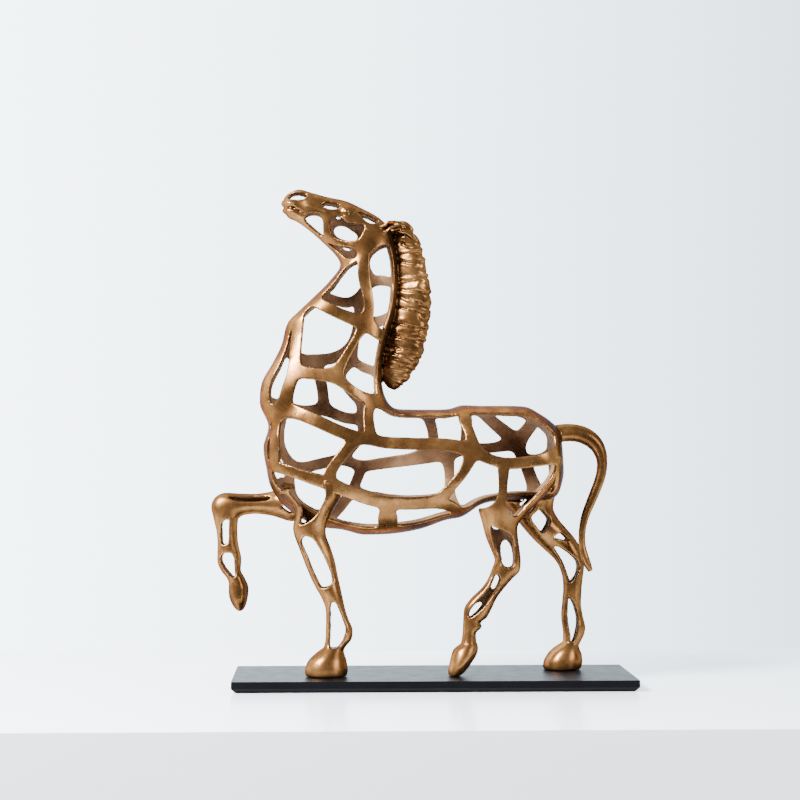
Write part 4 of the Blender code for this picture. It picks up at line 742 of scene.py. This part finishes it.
class GrowthTree(Tree):
    """A Geometry Nodes tree with named inputs, which gives a plain painted mesh."""

    def __init__(self, name, inputs):
        super().__init__(bpy.data.node_groups.new(name, "GeometryNodeTree"))
        face = self.tree.interface
        face.new_socket("Geometry", in_out="INPUT", socket_type="NodeSocketGeometry")
        for label, kind in inputs:
            face.new_socket(label, in_out="INPUT", socket_type=kind)
        face.new_socket("Geometry", in_out="OUTPUT", socket_type="NodeSocketGeometry")
        self.given = self.tree.nodes.new("NodeGroupInput").outputs

    def sum(self, first, *terms):
        """first + factor * value for each pair in terms."""
        for factor, value in terms:
            first = self.math("ADD", first, self.math("MULTIPLY", value, factor))
        return first

    def field(self, name):
        return self.add("GeometryNodeInputNamedAttribute", {"Name": name},
                        data_type="FLOAT").outputs["Attribute"]

    def finish(self, geometry):
        real = self.add("GeometryNodeRealizeInstances", {"Geometry": geometry})
        painted = self.add("GeometryNodeSetMaterial", {"Geometry": real.outputs[0],
                                                       "Material": self.given["Finish"]})
        self.add("NodeGroupOutput", {"Geometry": painted.outputs[0]})
        return self.tree


def settled(obj):
    """The object's mesh after its modifiers, which are then removed."""
    bpy.context.view_layer.update()
    graph = bpy.context.evaluated_depsgraph_get()
    mesh = bpy.data.meshes.new_from_object(obj.evaluated_get(graph))
    obj.modifiers.clear()
    return mesh


def grown(obj, tree, values):
    """The object's mesh after the tree, as a new plain object in its place."""
    grow = obj.modifiers.new(tree.name, "NODES")
    grow.node_group = tree
    for item in tree.interface.items_tree:
        if item.in_out == "INPUT" and item.name in values:
            grow[item.identifier] = values[item.name]
    bm = bmesh.new()
    bm.from_mesh(settled(obj))
    name = obj.name
    bpy.data.objects.remove(obj)
    bmesh.ops.remove_doubles(bm, verts=bm.verts, dist=MERGE_GAP)
    bmesh.ops.recalc_face_normals(bm, faces=bm.faces)
    return mesh_object(name, bm)


def pleat_tree():
    """Crosswise folds of uneven width: round on top, with narrow creases and finer strands."""
    t = GrowthTree("mane pleats", [("Pleats", "NodeSocketFloat"), ("Depth", "NodeSocketFloat"),
                                   ("Seed", "NodeSocketFloat"), ("Finish", "NodeSocketMaterial")])
    along, around = t.field("along"), t.field("around")
    count = t.math("MULTIPLY", along, t.given["Pleats"])
    uneven = t.add("ShaderNodeTexNoise", {"W": t.math("ADD", count, t.given["Seed"]), "Scale": 0.8,
                                          "Detail": 1.0}, noise_dimensions="1D").outputs[0]
    spot = t.add("GeometryNodeInputPosition", {}).outputs[0]
    drift = t.add("ShaderNodeTexNoise", {"Vector": spot, "W": t.given["Seed"], "Scale": 55.0,
                                         "Detail": 2.0}, noise_dimensions="4D").outputs[0]
    at = t.sum(count, (0.42, t.math("COSINE", around)), (2.2, uneven), (1.1, drift))
    wave = t.math("ABSOLUTE", t.math("SINE", t.math("MULTIPLY", at, math.pi)))
    fold = t.math("POWER", wave, 0.62)
    fine = t.math("SINE", t.sum(t.math("MULTIPLY", at, 4.6 * math.pi), (9.0, drift)))
    strand = t.math("SINE", t.sum(t.math("MULTIPLY", at, 11.4 * math.pi), (24.0, drift)))
    height = t.sum(t.math("SUBTRACT", t.math("MULTIPLY", fold, 1.7), 1.15), (0.17, fine),
                   (0.07, strand))
    start = t.math("MINIMUM", t.math("MULTIPLY", along, 14.0), 1.0)
    end = t.math("MINIMUM", t.math("MULTIPLY", t.math("SUBTRACT", 1.0, along), 9.0), 1.0)
    rise = t.math("MULTIPLY", t.math("MULTIPLY", height, t.given["Depth"]),
                  t.math("MULTIPLY", start, end))
    normal = t.add("GeometryNodeInputNormal", {}).outputs[0]
    shift = t.add("ShaderNodeVectorMath", {0: normal, "Scale": rise}, operation="SCALE").outputs[0]
    moved = t.add("GeometryNodeSetPosition", {"Geometry": t.given["Geometry"], "Offset": shift})
    return t.finish(moved.outputs[0])


def sweep_tree():
    """A round tube along a curve, as thick as the curve's own radius says."""
    t = GrowthTree("tail sweep", [("Spacing", "NodeSocketFloat"), ("Sides", "NodeSocketInt"),
                                  ("Finish", "NodeSocketMaterial")])
    even = t.add("GeometryNodeResampleCurve", {"Curve": t.given["Geometry"],
                                               "Length": t.given["Spacing"]}, mode="LENGTH")
    ring = t.add("GeometryNodeCurvePrimitiveCircle", {"Resolution": t.given["Sides"],
                                                      "Radius": UNIT})
    thick = t.add("GeometryNodeInputRadius", {})
    tube = t.add("GeometryNodeCurveToMesh", {"Curve": even.outputs[0],
                                             "Profile Curve": ring.outputs[0],
                                             "Scale": thick.outputs[0],
                                             "Fill Caps": True})
    return t.finish(tube.outputs[0])


def mane_object(finish):
    mane = solid_object("mane", MANE, 40, taper=MANE_FRONT_TAPER)
    return grown(mane, pleat_tree(), {"Pleats": float(MANE_PLEATS), "Finish": finish,
                                      "Depth": MANE_FOLD_DEPTH * UNIT, "Seed": MANE_FOLD_SEED})


def tail_object(finish):
    """The tail as a tapered tube along its middle line."""
    curve = bpy.data.curves.new("tail", "CURVE")
    curve.dimensions = "3D"
    curve.resolution_u = 16
    line = curve.splines.new("BEZIER")
    line.bezier_points.add(len(TAIL) - 1)
    for point, (x, z, radius) in zip(line.bezier_points, TAIL):
        point.co = place(x, 0, z)
        point.radius = radius
        point.handle_left_type = point.handle_right_type = "AUTO"
    guide = bpy.data.objects.new("tail", curve)
    bpy.context.scene.collection.objects.link(guide)
    return grown(guide, sweep_tree(), {"Spacing": 1.0 * UNIT, "Sides": 40, "Finish": finish})


def keep_largest(mesh):
    """Only the largest connected skin stays."""
    ends = np.empty(2 * len(mesh.edges), np.int64)
    mesh.edges.foreach_get("vertices", ends)
    a, b = ends.reshape(-1, 2).T
    label = np.arange(len(mesh.vertices))
    before = None
    while not np.array_equal(label, before):
        before = label.copy()
        low = np.minimum(label[a], label[b])
        np.minimum.at(label, a, low)
        np.minimum.at(label, b, low)
        label = label[label]
    largest = np.bincount(label).argmax()
    bm = bmesh.new()
    bm.from_mesh(mesh)
    bm.verts.ensure_lookup_table()
    stray = [bm.verts[i] for i in np.nonzero(label != largest)[0]]
    bmesh.ops.delete(bm, geom=stray, context="VERTS")
    bm.to_mesh(mesh)
    bm.free()


def fused(pieces, name):
    """All forms as one casting: joined, remeshed as one skin, smoothed and thinned."""
    bpy.context.view_layer.update()
    graph = bpy.context.evaluated_depsgraph_get()
    bm = bmesh.new()
    for piece in pieces:
        bm.from_mesh(piece.evaluated_get(graph).to_mesh())
    obj = mesh_object(name, bm)
    skin = obj.modifiers.new("skin", "REMESH")
    skin.mode = "VOXEL"
    skin.voxel_size = FUSE_STEP * UNIT
    soften = obj.modifiers.new("soften", "SMOOTH")
    soften.factor = 0.5
    soften.iterations = 3
    obj.data = settled(obj)
    keep_largest(obj.data)
    thin = obj.modifiers.new("thin", "DECIMATE")
    thin.ratio = HORSE_FACES / (2 * len(obj.data.polygons))
    thin.use_collapse_triangulate = True
    obj.data = settled(obj)
    obj.data.name = name
    obj.data.shade_smooth()
    for piece in pieces:
        bpy.data.objects.remove(piece)
    return obj


def mark_depth(horse, skins):
    """Stores how far each point lies under the outer surface, from 0 outside to 1 inside."""
    bm = bmesh.new()
    for mesh in skins:
        bm.from_mesh(mesh)
    tree = BVHTree.FromBMesh(bm)
    bm.free()
    depth = np.zeros(len(horse.data.vertices))
    for i, vert in enumerate(horse.data.vertices):
        spot, normal, _, distance = tree.find_nearest(vert.co, WALL * 1.6)
        if spot is not None:
            depth[i] = min(1, distance / WALL)
            if (vert.co - spot).dot(normal) > 0:
                depth[i] = 0
    layer = horse.data.attributes.new("depth", "FLOAT", "POINT")
    layer.data.foreach_set("value", depth)


def make_horse(finish):
    left = body_openings({**NECK_JOINTS, **CHEST_JOINTS, **BARREL_JOINTS}, LEFT_BANDS, LEFT_HEAD)
    right = body_openings({"poll2": NECK_JOINTS["poll2"], **FAR_JOINTS}, RIGHT_BANDS, RIGHT_HEAD)
    body = [(*row[:5], 0) for row in BODY]
    limbs = ((LEFT_FORE, LEFT_FORE_OPENINGS), (LEFT_HIND, LEFT_HIND_OPENINGS),
             (RIGHT_HIND, RIGHT_HIND_OPENINGS), (RIGHT_FORE, RIGHT_FORE_OPENINGS))
    shells = [shell_object("trunk", body, left, right, FACE)]
    shells += [limb_object(*limb) for limb in limbs]
    skins = [shell.data.copy() for shell in shells]
    plain = (UPPER_LIP, LOWER_LIP, LEFT_FORE_HOOF, LEFT_HIND_HOOF, RIGHT_HIND_HOOF, RIGHT_FORE_HOOF)
    solids = [mane_object(finish)]
    solids += [solid_object("ear", EAR, mirror=side, groove=EAR_GROOVE) for side in (1, -1)]
    solids += [solid_object("lip or hoof", stations) for stations in plain]
    solids.append(tail_object(finish))
    solids += [solid_object("lock", lock, mirror=side) for lock in LOCKS for side in (1, -1)]
    horse = fused(shells + solids, "openwork_horse")
    mark_depth(horse, skins)
    return horse


def shade(colour):
    """A colour's four numbers, from three or from one grey."""
    return (*colour, 1) if isinstance(colour, tuple) else (colour, colour, colour, 1)


class Paint(Tree):
    """A material's nodes, with its patterns on the piece's own coordinates."""

    def __init__(self, name):
        self.material = bpy.data.materials.new(name)
        self.material.use_nodes = True
        super().__init__(self.material.node_tree)
        self.coords = self.add("ShaderNodeTexCoord", {}).outputs["Object"]

    def wear(self, socket, value):
        """Puts a value on the shader itself."""
        self.give(self.tree.nodes["Principled BSDF"].inputs[socket], value)

    def noise(self, scale, detail=4.0, roughness=0.6):
        values = {"Vector": self.coords, "Scale": scale, "Detail": detail, "Roughness": roughness}
        return self.add("ShaderNodeTexNoise", values).outputs["Fac"]

    def ramp(self, source, *stops):
        """Colours or greys at places along a value."""
        node = self.add("ShaderNodeValToRGB", {"Fac": source})
        elements = node.color_ramp.elements
        while len(elements) < len(stops):
            elements.new(0.5)
        for element, (at, colour) in zip(elements, stops):
            element.position = at
            element.color = shade(colour)
        return node.outputs["Color"]

    def mix(self, share, *colours):
        a, b = (c if isinstance(c, bpy.types.NodeSocket) else shade(c) for c in colours)
        node = self.add("ShaderNodeMix", {}, data_type="RGBA")
        for socket, value in (("Factor", share), ("A", a), ("B", b)):
            self.give(node.inputs[socket], value)
        return [s for s in node.outputs if s.type == "RGBA"][0]

    def bump(self, height, strength, distance):
        node = self.add("ShaderNodeBump", {"Height": height, "Strength": strength,
                                           "Distance": distance})
        self.wear("Normal", node.outputs["Normal"])


def bronze_paint():
    """Satin bronze paint: golden outside, dull tan inside, painted shade in creases, darker paint
    and painted shade on the cut rims, rubbed paint and painted highlight on sharp ridges.
    """
    n = Paint("bronze_paint")
    depth = n.add("ShaderNodeAttribute", {}, attribute_name="depth").outputs["Fac"]
    edge = n.add("ShaderNodeNewGeometry", {}).outputs["Pointiness"]
    broad = n.noise(24, 6, 0.66)
    blotch = n.noise(75, 6, 0.7)
    warm = n.ramp(broad, (0.34, (0.078, 0.034, 0.011)), (0.50, (0.152, 0.069, 0.023)),
                  (0.66, (0.285, 0.138, 0.048)))
    dusk = n.ramp(blotch, (0.50, 0), (0.68, 0.36))
    warm = n.mix(dusk, warm, (0.036, 0.014, 0.006))
    hollow = n.ramp(broad, (0.34, (0.080, 0.038, 0.019)), (0.64, (0.30, 0.17, 0.092)))
    inward = n.ramp(depth, (0.45, 0), (0.90, 1))
    colour = n.mix(inward, warm, hollow)
    # Darker cut rims of the wall: partly darker paint on the cut edges, partly painted shade
    rim_paint_and_shade = n.ramp(depth, (0.06, 0), (0.22, 0.7), (0.60, 0.7), (0.85, 0))
    colour = n.mix(rim_paint_and_shade, colour, (0.075, 0.034, 0.016))
    # Lighter sharp ridges: partly rubbed paint, partly a painted highlight
    wear_and_highlight = n.ramp(edge, (0.525, 0), (0.575, 0.45))
    colour = n.mix(wear_and_highlight, colour, (0.42, 0.225, 0.092))
    # Painted shade: creases and hollows, where the surface is concave, darken almost to black
    crease_shade = n.ramp(edge, (0.44, 0.9), (0.487, 0))
    n.wear("Base Color", n.mix(crease_shade, colour, (0.016, 0.007, 0.003)))
    n.wear("Metallic", n.ramp(depth, (0.45, 0.88), (0.90, 0.37)))
    n.wear("Specular Tint", (0.15, 0.092, 0.05, 1))
    n.wear("Specular IOR Level", 0.3)
    rough = n.ramp(n.noise(60), (0.3, 0.23), (0.7, 0.37))
    n.wear("Roughness", n.mix(n.math("MULTIPLY", inward, 0.7), rough, 0.62))
    n.bump(n.noise(620, 3), 0.18, 0.00025)
    return n.material


def black_satin():
    """Black satin paint of the plate, with faint unevenness."""
    n = Paint("black_satin")
    n.wear("Base Color", n.ramp(n.noise(40), (0.3, (0.001, 0.001, 0.0015)),
                                (0.7, (0.002, 0.002, 0.003))))
    n.wear("Specular IOR Level", 0.06)
    n.wear("Roughness", n.ramp(n.noise(90), (0.3, 0.38), (0.7, 0.46)))
    n.bump(n.noise(900, 2, 0.5), 0.06, 0.0001)
    return n.material


def pale_gloss():
    """Pale lacquered top that the plate stands on."""
    n = Paint("pale_gloss")
    n.wear("Base Color", n.ramp(n.noise(3, 2, 0.5), (0.3, (0.84, 0.89, 0.93)),
                                (0.7, (0.87, 0.92, 0.96))))
    n.wear("Roughness", 0.22)
    return n.material


def make_floor():
    bpy.ops.mesh.primitive_cube_add(size=1, location=(0, 0, -FLOOR_SIZE[2] / 2))
    floor = bpy.context.object
    floor.name = "pale_top"
    floor.scale = FLOOR_SIZE
    floor.data.materials.append(pale_gloss())


def area_light(name, spot, size, power):
    lamp = bpy.data.lights.new(name, "AREA")
    lamp.size = size
    lamp.energy = power
    obj = bpy.data.objects.new(name, lamp)
    obj.location = spot
    obj.rotation_euler = (Vector(LIT_POINT) - Vector(spot)).to_track_quat("-Z", "Y").to_euler()
    bpy.context.scene.collection.objects.link(obj)


def make_light():
    """A bright pale backdrop all round, dimmer behind the camera, and a window at the left."""
    world = bpy.data.worlds.new("pale room")
    bpy.context.scene.world = world
    world.use_nodes = True
    sky = Tree(world.node_tree)
    way = sky.add("ShaderNodeTexCoord", {}).outputs["Generated"]
    split = sky.add("ShaderNodeSeparateXYZ", {0: way}).outputs
    reach, aside = (
        sky.add("ShaderNodeMapRange", {"Value": split[axis], "From Min": -0.25, "From Max": last,
                                       "To Min": low, "To Max": high}).outputs["Result"]
        for axis, last, low, high in (("Y", 0.45, ROOM_LIGHT, BACKDROP_LIGHT),
                                      ("X", 0.25, LEFT_SHARE, RIGHT_SHARE)))
    back = sky.tree.nodes["Background"].inputs
    sky.give(back["Strength"], sky.math("MULTIPLY", reach, aside))
    sky.give(back["Color"], (*ROOM_COLOUR, 1))
    area_light("window", WINDOW_PLACE, WINDOW_SIZE, WINDOW_WATTS)
    area_light("fill", FILL_PLACE, FILL_SIZE, FILL_WATTS)


def make_camera():
    data = bpy.data.cameras.new("camera")
    data.sensor_width = 36
    data.lens = CAMERA_LENS
    camera = bpy.data.objects.new("camera", data)
    camera.location = CAMERA_PLACE
    camera.rotation_euler = (math.radians(CAMERA_TILT), 0, math.radians(CAMERA_TURN))
    bpy.context.scene.collection.objects.link(camera)
    bpy.context.scene.camera = camera


make_camera()
bronze = bronze_paint()
horse = make_horse(bronze)
horse.data.materials.clear()
horse.data.materials.append(bronze)
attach(horse, "root")
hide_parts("horse")

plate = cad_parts["base_plate"]
plate.data.materials.clear()
plate.data.materials.append(black_satin())

make_floor()
make_light()
